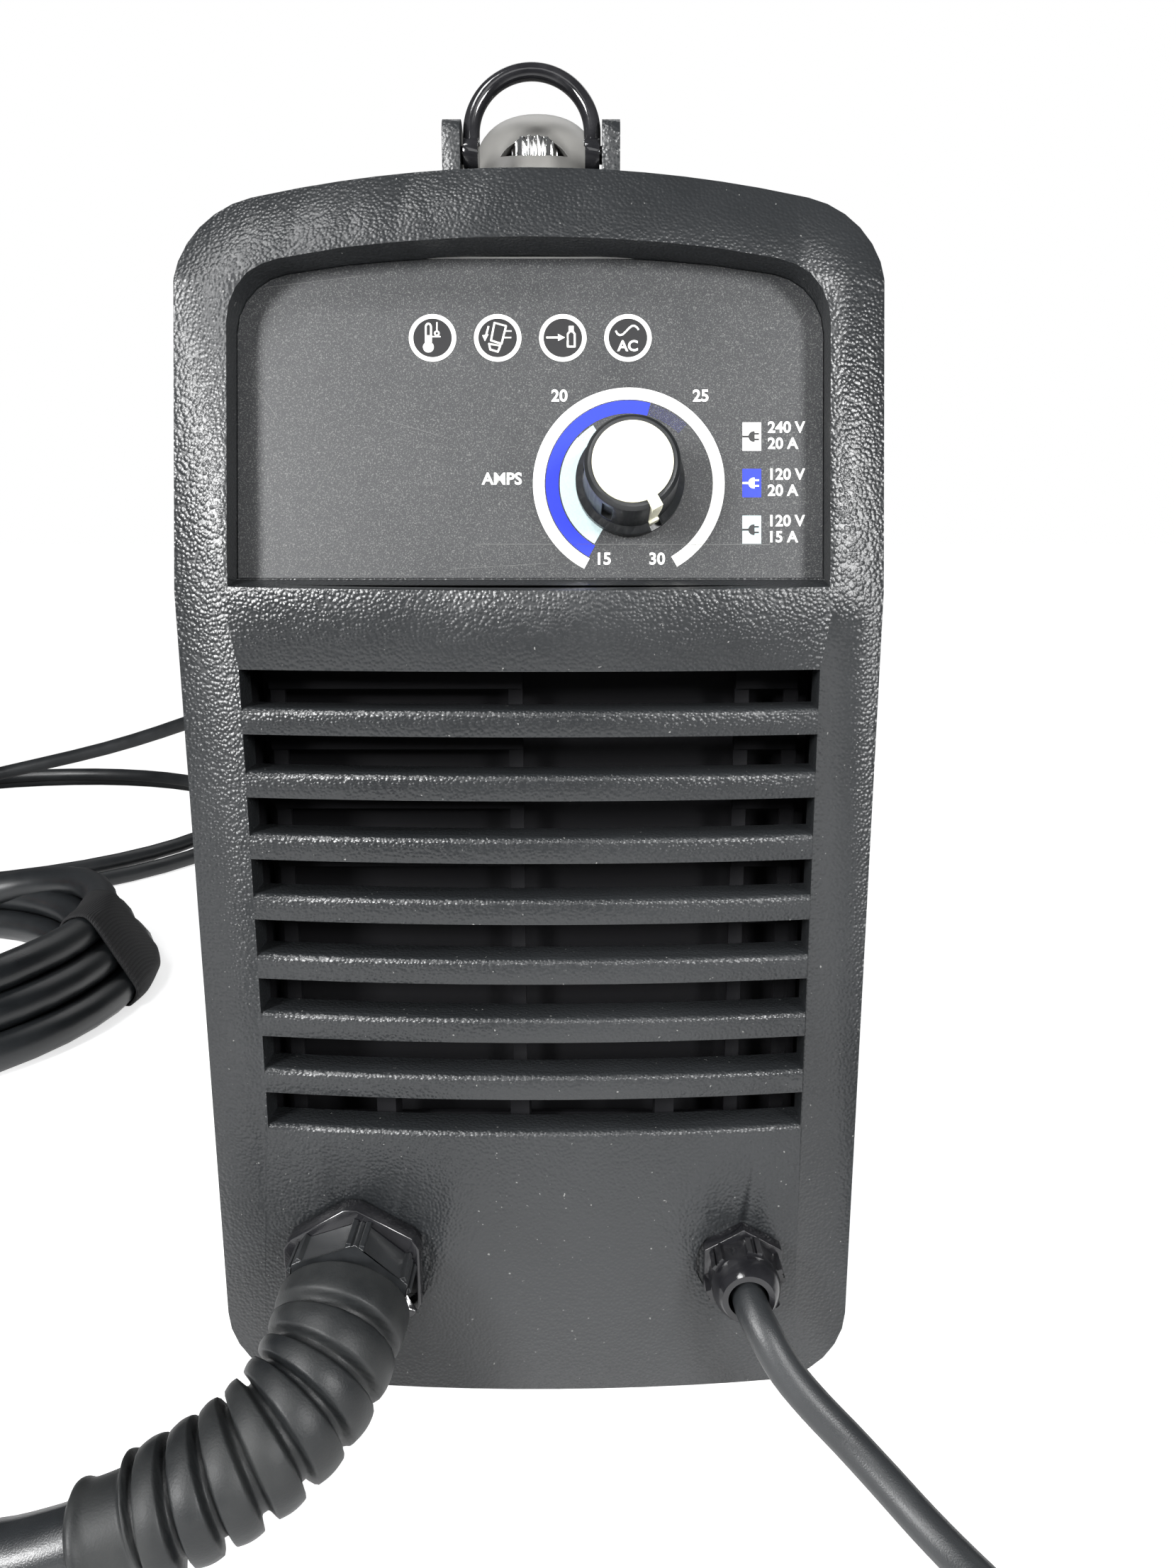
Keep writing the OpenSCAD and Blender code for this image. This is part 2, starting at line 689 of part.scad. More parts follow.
// Routes of the free leads
POWER_ROUTE = [[-38, 179, 236], [-38.8, 205, 235], [-46, 240, 228], [-66, 285, 208], [-105, 330, 175],
  [-160, 372, 137], [-220, 402, 105], [-283, 420, 80], [-350, 430, 58], [-430, 433, 38],
  [-510, 428, 20], [-580, 414, 8], [-616, 396, 5]];
POWER_TAIL = [[-646, 408, 14], [-651, 380, 13], [-654, 350, 13.5], [-655, 318, 14]];
TORCH_ROUTE = [[-113, -227, 10], [-145, -229, 8], [-190, -227, 8], [-245, -215, 8], [-305, -188, 8],
  [-360, -146, 8], [-405, -90, 8], [-434, -25, 8], [-445, 40, 8], [-441, 95, 8]];
WORK_ROUTE = [[52, -177, 41.5], [52.8, -184, 39.4], [55.5, -189, 35.5], [60, -193, 29], [66, -196.5, 23],
  [73.5, -201, 17], [81, -207, 11.5], [88, -214, 7], [95, -223, 4.5], [104, -238, 4.25],
  [118, -262, 4.25], [138, -286, 4.25], [168, -307, 4.25], [200, -318, 4.25], [230, -321.5, 4.25]];
WORK_TAIL = [[230, -321, 13], [262, -321, 12], [300, -318, 8], [334, -309, 5], [360, -293, 6], [374, -270, 9],
  [379, -246, 12], [381, -229.6, 12.5], [385.2, -215.2, 12.5]];
TORCH_TAIL = [[-386, 3, 40], [-401, 25, 42], [-409, 50, 45.2], [-411, 76, 46.6], [-411, 90, 46.6]];

// Middle, inner and outer radius of each coil
torch_coil_c = [-320, 95];
torch_coil_in = 65;
torch_coil_out = 129;
work_coil_c = [230, -245];
work_coil_in = 38;
work_coil_out = 81;
power_coil_c = [-455, 400];
power_coil_a = 177;
power_coil_b = 135.5;
power_coil_w = 12;

module power_cord() {
  color(C_RUBBER) {
    tube(POWER_ROUTE, power_cord_d, 2, 8);
    tube(POWER_TAIL, power_cord_d, 2, 8);
  }
}

module coil_ring(c, r0, r1, h) {
  translate([c[0], c[1], 0]) rotate_extrude($fn = 64) polygon([[r0 + 3, 0], [r1 - 3, 0], [r1, 3], [r1, h - 3],
    [r1 - 3, h], [r0 + 3, h], [r0, h - 3], [r0, 3]]);
}

module power_cord_coil() {
  oval_n = 48;
  color(C_RUBBER) translate([power_coil_c[0], power_coil_c[1], 0]) linear_extrude(20) difference() {
    polygon([for (k = [0:oval_n - 1]) let (a = k * 360 / oval_n)
      [(power_coil_a + power_coil_w) * cos(a), (power_coil_b + power_coil_w) * sin(a)]]);
    polygon([for (k = [0:oval_n - 1]) let (a = k * 360 / oval_n)
      [power_coil_a * cos(a), power_coil_b * sin(a)]]);
  }
}

plug_at = [-655, 262, 14];
plug_turn = 90;
module at_plug() {
  translate(plug_at) rotate([0, 0, plug_turn]) children();
}

module plug_body() {
  color(C_RUBBER) at_plug() rotate([0, 90, 0]) rotate_extrude() polygon([[0, 0], [13.5, 0], [13.8, 2],
    [13.8, 22], [11, 30], [9, 33], [9, 38], [7, 56], [0, 56]]);
}

module plug_blades() {
  color(C_BRASS) at_plug() {
    for (s = [-1, 1]) translate([-17, s * 6.35 - 0.75, -3]) cube([17, 1.5, 6]);
    translate([-20, 0, -7.5]) rotate([0, 90, 0]) cylinder(r = 2.4, h = 20);
  }
}

// Works along an axis straight out of the lower front
module on_lower(x, y) {
  translate([x, y, gland_z]) rotate([90, 0, 0]) children();
}

flange_d = 33.5;
module torch_flange_nut() {
  color(C_RUBBER) on_lower(torch_gland_x, torch_seat) difference() {
    union() {
      intersection() {
        rotate([0, 0, 90]) cylinder(d = flange_d / cos(30), h = 5.5, $fn = 6);
        cylinder(d = flange_d * 1.1, h = 5.5);
      }
      translate([0, 0, -20]) cylinder(r = torch_hole_r - 0.1, h = 20.5);
    }
    translate([0, 0, -30]) cylinder(r = torch_lead_d / 2 + 0.5, h = 60);
  }
}

gland_nut_d = 28;
gland_nut_h = 10;
module torch_gland_nut() {
  color(C_RUBBER) on_lower(torch_gland_x, torch_seat) translate([0, 0, 5.6]) difference() {
    union() {
      rotate([0, 0, 90]) cylinder(d = gland_nut_d / cos(30), h = gland_nut_h, $fn = 6);
      for (i = [0:5]) rotate([0, 0, 30 + i * 60]) translate([gland_nut_d / 2 / cos(30) - 2.4, 0, 0])
        push_box([3, 4.4, gland_nut_h]);
    }
    translate([0, 0, -30]) cylinder(r = torch_lead_d / 2 + 0.5, h = 60);
  }
}

// Torch strain relief: a tapered rubber sleeve whose ribs and slots let it bend
RELIEF_ROUTE = [[-45, -185.5, 41.2], [-45.4, -190.5, 39.7], [-46.6, -197, 36.6], [-49.5, -203.5, 32.6],
  [-54.5, -210, 28.6],
  [-61, -215, 25], [-69, -218.8, 21.6], [-78, -221.8, 18.4], [-87.5, -224.2, 15.6], [-97, -225.8, 13.4],
  [-105, -226.6, 11.8], [-113, -227, 11.2]];
relief_big = 16.8;
relief_small = 11.2;
module torch_relief() {
  c = smooth_route(RELIEF_ROUTE, 5);
  m = len(c) - 1;
  function rib(i) = let (f = i / m, r = relief_big + (relief_small - relief_big) * f,
    w = f < 0.08 || f > 0.9 ? 0 : (i % 5 < 2 ? 2.6 : 0)) r - w;
  color(C_RUBBER) skin(tube_rings(c, [for (i = [0:m]) rib(i)], 14));
}

module torch_lead() {
  color(C_RUBBER) tube(TORCH_ROUTE, torch_lead_d, 2, 10);
}

module torch_lead_coil() {
  color(C_RUBBER) coil_ring(torch_coil_c, torch_coil_in, torch_coil_out, 2 * torch_lead_d);
}

strap_turn = 8;
strap_w = 40;
module coil_strap() {
  mid = (torch_coil_in + torch_coil_out) / 2;
  w = torch_coil_out - torch_coil_in + 3;
  h = 2 * torch_lead_d;
  color([0.05, 0.05, 0.05]) translate([torch_coil_c[0], torch_coil_c[1], 0]) rotate([0, 0, strap_turn])
    translate([mid, 0, 0]) difference() {
      translate([-w / 2, -strap_w / 2, 0]) cube([w, strap_w, h + 1.6]);
      translate([-w / 2 + 2.5, -strap_w, 1]) cube([w - 5, strap_w * 2, h - 1]);
    }
}

module torch_tail() {
  color(C_RUBBER) tube(TORCH_TAIL, torch_lead_d, 2, 10);
}

// Hand torch, drawn with its handle along +Y, trigger and nozzle below, then laid on its side
torch_at = [-411, 76, 46.6];
torch_turn = [0, -90, 0];
module at_torch() {
  translate(torch_at) rotate(torch_turn) children();
}

// Handle stations: distance along, height of the middle, width, depth
GRIP = [[0, 0, 24, 24], [6, 0, 28, 29], [20, 0, 29, 31], [50, 1, 29, 33], [80, 2, 28, 34], [105, 3, 28, 35],
  [125, 2, 29, 36], [140, -2, 29, 36], [152, -8, 28, 34], [160, -15, 26, 30]];

module grip_solid() {
  sides = 20;
  skin([for (g = GRIP) [for (k = [0:sides - 1]) let (p = super(-k * 360 / sides, 2.7))
    [p[0] * g[2] / 2, g[0] + (g[0] > 130 ? -p[1] * (g[0] - 130) * 0.25 : 0), g[1] + p[1] * g[3] / 2]]]);
}

trigger_y = 112;
head_y = 150;
head_r = 10;
pin_r = 1.5;
safety_w = 9;
safety_room = 10.5;
module trigger_pocket() {
  translate([-6.4, 78, -22]) cube([12.8, 40, 19]);
}

module torch_shell(side) {
  difference() {
    grip_solid();
    translate([side > 0 ? run_fit - 50 : -run_fit, -20, -60]) cube([50, 220, 120]);
    trigger_pocket();
    translate([0, head_y, -40]) cylinder(r = head_r + 0.1, h = 46);
    rotate([-90, 0, 0]) translate([0, 0, -1]) cylinder(r = torch_lead_d / 2 + 0.1, h = 30);
    translate([0, trigger_y, -9]) rotate([0, 90, 0]) cylinder(r = pin_r + run_fit, h = 15, center = true);
    // room for the safety when the trigger is squeezed
    translate([-safety_w / 2 - 0.4, 62, -30]) cube([safety_w + 0.8, 26, 30 - safety_room]);
  }
}

module torch_shell_left() {
  color([0.13, 0.13, 0.13]) at_torch() torch_shell(-1);
}

module torch_shell_right() {
  color([0.13, 0.13, 0.13]) at_torch() torch_shell(1);
}

module torch_trigger() {
  color([0.75, 0.25, 0.08]) at_torch() difference() {
    union() {
      translate([0, trigger_y, -9]) rotate([0, 90, 0]) cylinder(r = 4, h = 11.6, center = true);
      translate([-5.8, 84, -19]) cube([11.6, 26, 8]);
      translate([-5.8, 104, -17]) cube([11.6, 8, 8]);
      translate([-7.4, trigger_y, -9]) rotate([0, 90, 0]) cylinder(r = pin_r, h = 14.8);
    }
    translate([0, 97, -29.5]) rotate([0, 90, 0]) cylinder(r = 14, h = 30, center = true);
  }
}

module torch_safety() {
  color([0.9, 0.75, 0.1]) at_torch() {
    translate([0, 80.6, -17]) rotate([0, 90, 0]) cylinder(r = 2.4, h = safety_w, center = true);
    translate([-safety_w / 2, 68, -21.5]) cube([safety_w, 12.6, 3]);
    translate([-safety_w / 2, 79, -21.5]) cube([safety_w, 2.6, 4]);
  }
}

module torch_head() {
  color([0.12, 0.12, 0.12]) at_torch() translate([0, head_y, -46]) cylinder(r = head_r, h = 51.5);
}

module torch_cap() {
  color([0.2, 0.2, 0.21]) at_torch() translate([0, head_y, 0]) difference() {
    translate([0, 0, -66]) rotate_extrude() polygon([[4.1, 0], [8, 0], [12, 7], [12, 22], [4.1, 22]]);
    translate([0, 0, -46.1]) cylinder(r = head_r + run_fit, h = 10);
    for (i = [0:11]) rotate([0, 0, i * 30]) translate([12.3, 0, -60]) cylinder(r = 0.9, h = 20, $fn = 13);
  }
}

module torch_nozzle() {
  color(C_COPPER) at_torch() translate([0, head_y, -72]) rotate_extrude()
    polygon([[0.8, 0], [3, 0], [4, 4], [4, 26], [0.8, 26]]);
}

module work_gland_base() {
  color(C_RUBBER) on_lower(work_gland_x, work_seat) difference() {
    union() {
      rotate([0, 0, 90]) cylinder(d = 19.2 / cos(30), h = 4, $fn = 6);
      translate([0, 0, -16]) cylinder(r = work_hole_r - 0.1, h = 17);
    }
    translate([0, 0, -20]) cylinder(r = work_lead_d / 2 + 0.4, h = 40);
  }
}

module work_gland_nut() {
  color(C_RUBBER) on_lower(work_gland_x, work_seat) translate([0, 0, 4.1]) difference() {
    union() {
      rotate([0, 0, 90]) cylinder(d = 16.6 / cos(30), h = 6.5, $fn = 6);
      for (i = [0:5]) rotate([0, 0, 30 + i * 60]) translate([8.2, 0, 0]) push_box([2.4, 3, 6.5]);
      translate([0, 0, 6]) intersection() {
        sphere(r = 8.5);
        cylinder(r = 9, h = 5.6);
      }
    }
    translate([0, 0, -1]) cylinder(r = work_lead_d / 2 + 0.7, h = 20);
  }
}

module work_lead() {
  color(C_RUBBER) tube(WORK_ROUTE, work_lead_d, 2, 8);
}

module work_lead_coil() {
  color(C_RUBBER) coil_ring(work_coil_c, work_coil_in, work_coil_out, 2 * work_lead_d);
}

module work_coil_tie() {
  mid = (work_coil_in + work_coil_out) / 2;
  w = work_coil_out - work_coil_in + 2;
  h = 2 * work_lead_d;
  color([0.05, 0.05, 0.05]) translate([work_coil_c[0], work_coil_c[1], 0]) rotate([0, 0, 60])
    translate([mid, 0, 0]) difference() {
      translate([-w / 2, -6, 0]) cube([w, 12, h + 1]);
      translate([-w / 2 + 2, -12, 1]) cube([w - 4, 24, h - 1]);
    }
}

module work_tail() {
  color(C_RUBBER) tube(WORK_TAIL, work_lead_d, 2, 8);
}

// Work clamp, lying on its side with its handles towards the lead
clamp_at = [399, -244, 0];
clamp_h = 24;
clamp_pivot = 78;
clamp_pin_r = 3;
clamp_ear_t = 3;
CLAMP_ARM = [
  [24, 0], [30, 0], [32, 5], [28, 24], [20.5, 48], [15.5, 66], [14, 78], [15.5, 92], [17, 106],
  [13, 126], [6, 146], [2, 150], [0.3, 150], [0.3, 143], [4.5, 136], [9, 122], [11, 106], [9.5, 92],
  [6.8, 84], [6.8, 72], [8.5, 64], [14, 46], [21, 24], [24, 8]
];

module at_clamp() {
  translate(clamp_at) children();
}

// One arm: a pressed channel, closed on its outer side, with ears about the pin
module clamp_arm(side, ear_z0, ear_z1) {
  mirror([side > 0 ? 0 : 1, 0, 0]) linear_extrude(clamp_h) polygon(CLAMP_ARM);
  for (z = [ear_z0, ear_z1]) translate([0, clamp_pivot, z]) {
    cylinder(r = 6, h = clamp_ear_t);
    translate([side > 0 ? 0 : -9, -5.6, 0]) cube([9, 11.2, clamp_ear_t]);
  }
}

module clamp_jaw_lower() {
  color(C_STEEL) at_clamp() difference() {
    clamp_arm(-1, 0, clamp_h - clamp_ear_t);
    translate([0, clamp_pivot, -1]) cylinder(r = clamp_pin_r, h = clamp_h + 2);
    translate([-4, 140, 3]) cube([4.1, 11, clamp_h - 6]);
  }
}

module clamp_jaw_upper() {
  color(C_STEEL) at_clamp() difference() {
    clamp_arm(1, 3.4, clamp_h - 6.4);
    for (z = [-0.1, clamp_h - 3.3]) translate([0, clamp_pivot, z]) cylinder(r = 10, h = 3.4);
    translate([0, clamp_pivot, -1]) cylinder(r = clamp_pin_r + run_fit, h = clamp_h + 2);
  }
}

module clamp_pin() {
  color(C_STEEL) at_clamp() translate([0, clamp_pivot, 0]) cylinder(r = clamp_pin_r, h = clamp_h + 1.5);
}

// Torsion spring: a leg, three turns about the pin, and a leg
module clamp_spring() {
  r = 4.6;
  turns = 3;
  steps = 12 * turns;
  wire = 1.6;
  c = concat([[-r - 6.5, -26, 0], [-r - 2.6, -14, 0]],
    [for (i = [0:steps]) let (a = 180 - 360 * turns * i / steps - 180 * i / steps)
    [r * cos(a), r * sin(a), 7 * i / steps]], [[r + 2.6, -14, 7], [r + 6.5, -26, 7]]);
  color(C_STEEL) at_clamp() translate([0, clamp_pivot, 8.5])
    skin(tube_rings(c, [for (p = c) wire / 2], 8));
}

// Toothed copper jaw pad, and the crimped lug that brings the lead to the arm
module clamp_contacts() {
  color(C_COPPER) at_clamp() {
    translate([-4, 140, 3]) difference() {
      cube([3.6, 10, clamp_h - 6]);
      for (i = [0:3]) translate([3.6, 1.2 + i * 2.4, -1]) cylinder(r = 0.7, h = clamp_h, $fn = 13);
    }
    translate([-13.5, 29.6, clamp_h / 2 + 0.5]) rotate([0, 0, -16.3]) rotate([-90, 0, 0])
      cylinder(r = 5, h = 13);
  }
}

front_bezel();
control_label();
indicator_windows();
dial_knob();
dial_cap();
dial_shaft();
potentiometer();
control_board();
inner_baffle();
base_tray();
case_cover();
case_screws();
rear_bezel();
rubber_feet();
carry_handle();
handle_bolts();
strap_bail();
fan_frame();
fan_rotor();
power_board();
heatsink();
capacitors();
transformer_core();
transformer_coils();
gas_valve();
air_filter();
gas_inlet();
switch_housing();
switch_rocker();
power_gland();
power_cord();
power_cord_coil();
plug_body();
plug_blades();
torch_flange_nut();
torch_gland_nut();
torch_relief();
torch_lead();
torch_lead_coil();
coil_strap();
torch_tail();
torch_shell_left();
torch_shell_right();
torch_trigger();
torch_safety();
torch_head();
torch_cap();
torch_nozzle();
work_gland_base();
work_gland_nut();
work_lead();
work_lead_coil();
work_tail();
work_coil_tie();
clamp_jaw_lower();
clamp_jaw_upper();
clamp_pin();
clamp_spring();
clamp_contacts();
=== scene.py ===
"""Looks of a compact plasma cutter: moulded front with louvres and dial, handle, torch, clamp and leads.

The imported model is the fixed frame. Every length here is in metres, worked from millimetres with MM.
"""
import json
import math

import bmesh
import bpy
from mathutils import Matrix, Vector


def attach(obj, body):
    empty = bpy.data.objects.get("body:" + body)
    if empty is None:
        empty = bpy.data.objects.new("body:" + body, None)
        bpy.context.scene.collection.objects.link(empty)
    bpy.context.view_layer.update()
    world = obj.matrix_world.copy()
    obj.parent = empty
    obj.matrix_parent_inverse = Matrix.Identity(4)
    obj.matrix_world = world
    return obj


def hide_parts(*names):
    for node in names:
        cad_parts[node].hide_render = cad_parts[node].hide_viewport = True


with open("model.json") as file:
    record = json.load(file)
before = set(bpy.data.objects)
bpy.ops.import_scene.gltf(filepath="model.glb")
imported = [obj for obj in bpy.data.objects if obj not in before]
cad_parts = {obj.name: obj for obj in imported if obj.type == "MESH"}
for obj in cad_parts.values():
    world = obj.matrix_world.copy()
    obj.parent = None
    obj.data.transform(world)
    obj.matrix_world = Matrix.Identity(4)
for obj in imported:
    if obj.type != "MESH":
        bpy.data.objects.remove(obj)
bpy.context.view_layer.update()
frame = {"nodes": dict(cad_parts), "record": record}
scene = bpy.context.scene
nodes = frame["nodes"]
body_of = {node: body for body, held in frame["record"]["behaviour"]["bodies"].items() for node in held}
MM = 0.001


def placed(name, data):
    """A new object of this data, linked to the scene."""
    piece = bpy.data.objects.new(name, data)
    scene.collection.objects.link(piece)
    return piece


def mesh_of(form, name):
    """The mesh of a form. The form is freed."""
    mesh = bpy.data.meshes.new(name)
    form.to_mesh(mesh)
    form.free()
    return mesh


def closed_mesh(form, name):
    """The mesh of a closed form, with its faces turned outward."""
    bmesh.ops.recalc_face_normals(form, faces=form.faces)
    return mesh_of(form, name)


def walled(form, rings):
    """Joins each ring of corners to the next by a wall of faces."""
    for low, high in zip(rings, rings[1:]):
        for k in range(len(low)):
            after = (k + 1) % len(low)
            form.faces.new((low[k], low[after], high[after], high[k]))


# ---------------------------------------------------------------- camera
# The unit is seen from the height of its dial, close to it and looking a little down,
# so its sides draw together towards the floor.
eye = Vector((13.3, -433.7, 224.0)) * MM
look_down = math.radians(12.5)
picture_high, focal_length = 2212, 1662

camera_data = bpy.data.cameras.new("camera")
camera_data.sensor_width = 24
camera_data.lens = camera_data.sensor_width * focal_length / picture_high
camera_data.clip_start = 0.01
camera = placed("camera", camera_data)
camera.location = eye
camera.rotation_euler = (math.pi / 2 - look_down, 0, 0)
scene.camera = camera


# ---------------------------------------------------------------- leads
# The torch lead, the work lead and the power cord are round black rubber cables. Each is
# one length: out of its gland, along the ground, round its coil and on to its tool or plug.
def new_material(name, colour, rough, metallic=0.0):
    """A Principled material with Object coordinates ready for its pattern."""
    material = bpy.data.materials.new(name)
    material.use_nodes = True
    tree = material.node_tree
    shader = tree.nodes["Principled BSDF"]
    shader.inputs["Base Color"].default_value = (*colour, 1)
    shader.inputs["Roughness"].default_value = rough
    shader.inputs["Metallic"].default_value = metallic
    coords = tree.nodes.new("ShaderNodeTexCoord")
    return material, tree, shader, coords.outputs["Object"]


def noise(tree, coords, scale, detail=2.0, rough=0.5):
    """A noise pattern, in cells of about 1/scale metres."""
    node = tree.nodes.new("ShaderNodeTexNoise")
    node.inputs["Scale"].default_value = scale
    node.inputs["Detail"].default_value = detail
    node.inputs["Roughness"].default_value = rough
    tree.links.new(coords, node.inputs["Vector"])
    return node.outputs["Fac"]


def stretched(tree, coords, scale):
    """Object coordinates drawn out by a scale on each axis."""
    node = tree.nodes.new("ShaderNodeMapping")
    node.inputs["Scale"].default_value = scale
    tree.links.new(coords, node.inputs["Vector"])
    return node.outputs["Vector"]


def ranged(tree, value, low, high, from_low=0.3, from_high=0.7):
    """A pattern's value taken to another range."""
    node = tree.nodes.new("ShaderNodeMapRange")
    for name, number in (("From Min", from_low), ("From Max", from_high), ("To Min", low), ("To Max", high)):
        node.inputs[name].default_value = number
    tree.links.new(value, node.inputs["Value"])
    return node.outputs["Result"]


def blended(tree, factor, first, second):
    """A colour between two, by a factor. Either may be a colour or a socket."""
    node = tree.nodes.new("ShaderNodeMix")
    node.data_type = "RGBA"
    tree.links.new(factor, node.inputs["Factor"])
    for name, colour in (("A", first), ("B", second)):
        socket = next(s for s in node.inputs if s.name == name and s.type == "RGBA")
        if isinstance(colour, tuple):
            socket.default_value = (*colour, 1)
        else:
            tree.links.new(colour, socket)
    return next(s for s in node.outputs if s.type == "RGBA")


def bumped(tree, shader, height, distance, under=None):
    """Roughens a shader's surface by a height pattern, up to a distance in metres."""
    node = tree.nodes.new("ShaderNodeBump")
    node.inputs["Distance"].default_value = distance
    tree.links.new(height, node.inputs["Height"])
    if under is not None:
        tree.links.new(under, node.inputs["Normal"])
    tree.links.new(node.outputs["Normal"], shader.inputs["Normal"])
    return node.outputs["Normal"]


def mottled(tree, shader, pattern, colours, roughs):
    """Varies a shader's colour and roughness by a pattern."""
    tree.links.new(blended(tree, ranged(tree, pattern, 0, 1), *colours), shader.inputs["Base Color"])
    tree.links.new(ranged(tree, pattern, *roughs), shader.inputs["Roughness"])


def jacket_material(name, colour, rough):
    """Extruded rubber: fine grain, with dusty and rubbed patches."""
    material, tree, shader, coords = new_material(name, colour, rough)
    patches = noise(tree, coords, 28, 4, 0.6)
    dust = tuple(c * 1.6 + 0.004 for c in colour)
    mottled(tree, shader, patches, (colour, dust), (rough - 0.07, rough + 0.1))
    bumped(tree, shader, noise(tree, coords, 2600, 3), 0.00006)
    return material


def smoothed(points, pieces):
    """A smooth curve through given points, cut into pieces between them."""
    count = len(points)
    curve = []
    for i in range(count - 1):
        before, a, b, after = (points[max(i - 1, 0)], points[i], points[i + 1], points[min(i + 2, count - 1)])
        for k in range(pieces):
            t = k / pieces
            curve.append(0.5 * (2 * a + (b - before) * t + (2 * before - 5 * a + 4 * b - after) * t * t
                                + (3 * a - before - 3 * b + after) * t * t * t))
    curve.append(points[-1])
    return curve


def route(*points):
    return [Vector(p) * MM for p in points]


def eased(t):
    t = min(max(t, 0.0), 1.0)
    return t * t * (3 - 2 * t)


def wound(centre, start_deg, way, radii, heights, turns, squeeze=1.0, steps=32, climb=None):
    """Turns of a coil on the ground. Each turn has its radius and height, and steps to the next near its end.

    A climb takes the lead to another radius and height, from a number of turns on.
    """
    points = []
    for k in range(int(turns * steps) + 1):
        t = k / steps
        turn = min(int(t), len(radii) - 1)
        after = min(turn + 1, len(radii) - 1)
        share = eased((t - turn - 0.8) / 0.2)
        radius = radii[turn] + (radii[after] - radii[turn]) * share
        height = heights[turn] + (heights[after] - heights[turn]) * share
        if climb:
            share = eased((t - climb[0]) / 0.16)
            radius += (climb[1] - radius) * share
            height += (climb[2] - height) * share
        angle = math.radians(start_deg + way * 360 * t)
        points.append(Vector((centre[0] + radius * math.cos(angle),
                              centre[1] + radius * squeeze * math.sin(angle), height)) * MM)
    return points


def cable(name, points, diameter, material, body):
    """A round cable as a curve of one spline along its points."""
    data = bpy.data.curves.new(name, "CURVE")
    data.dimensions = "3D"
    data.bevel_depth = diameter / 2
    data.bevel_resolution = 5
    data.use_fill_caps = True
    spline = data.splines.new("POLY")
    spline.points.add(len(points) - 1)
    for point, place in zip(spline.points, points):
        point.co = (*place, 1)
    spline.use_smooth = True
    data.materials.append(material)
    piece = placed(name, data)
    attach(piece, body)
    return piece


def length_of(points):
    return sum((b - a).length for a, b in zip(points, points[1:]))


lead_rubber = jacket_material("torch_lead_rubber", (0.006, 0.007, 0.008), 0.33)
cord_rubber = jacket_material("power_cord_rubber", (0.008, 0.009, 0.010), 0.38)

torch_d, work_d, power_d = 16 * MM, 8.5 * MM, 10 * MM

torch_route = route(
    (-91, -224.8, 14.8), (-101, -226.3, 12.4), (-113, -227, 10.2), (-145, -229, 8), (-190, -227, 8),
    (-245, -215, 8), (-305, -189, 8),
    (-360, -148, 8), (-409, -92, 8), (-443, -27, 8), (-457, 40, 8))
torch_tail = route((-330, -13, 38), (-368, -7, 40), (-391, 8, 42), (-406, 32, 44.5), (-411, 58, 46.4),
                   (-411, 76, 46.6), (-411, 90, 46.6))
torch_turns = wound((-333, 95), 180, -1, (124, 108, 92, 100, 116, 84), (8, 8, 8, 21.9, 21.9, 21.9), 5.68,
                    climb=(5.22, 108, 35.7))
torch_line = smoothed(torch_route + torch_turns[::2] + torch_tail, 3)

work_route = route(
    (52, -177, 41.5), (52.8, -184, 39.4), (55.5, -189, 35.5), (60, -193, 29), (66, -196.5, 23),
    (73.5, -201, 17), (81, -207, 11.5), (88, -214, 7), (95, -223, 4.5), (104, -238, 4.25),
    (118, -262, 4.25), (138, -286, 4.25), (168, -307, 4.25), (200, -318, 4.25))
work_tail = route((262, -321, 12), (300, -318, 8), (334, -309, 5), (360, -293, 6), (374, -270, 9),
                  (380, -246, 12), (382.5, -230, 12.5), (385, -215, 12.5))
work_radii = [76.5 - 8.5 * k for k in range(5)]
work_turns = wound((230, -245), 270, 1, work_radii + work_radii[::-1], [4.25] * 5 + [12.75] * 5, 10)
work_line = smoothed(work_route + work_turns[::2] + work_tail, 3)

power_route = route(
    (-38, 179, 236), (-38.8, 205, 235), (-46, 240, 228), (-66, 285, 208), (-105, 330, 175),
    (-160, 372, 137), (-220, 402, 105), (-283, 422, 80), (-350, 440, 58), (-430, 452, 38),
    (-510, 450, 20), (-575, 430, 8), (-606, 390, 5))
power_tail = route((-646, 408, 14), (-651, 380, 13), (-654, 350, 13.5), (-655, 318, 14))
power_turns = wound((-420, 400), 200, 1, (184, 173), (5, 12), 1.93, squeeze=0.94)
power_line = smoothed(power_route + power_turns[::2] + power_tail, 3)

torch_lead = cable("torch_lead_cable", torch_line, torch_d, lead_rubber, body_of["torch_lead"])
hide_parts("torch_lead", "torch_lead_coil", "torch_tail")
work_lead = cable("work_lead_cable", work_line, work_d, cord_rubber, body_of["work_lead"])
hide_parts("work_lead", "work_lead_coil", "work_tail")
power_cord = cable("power_cord_cable", power_line, power_d, cord_rubber, body_of["power_cord"])
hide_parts("power_cord", "power_cord_coil")


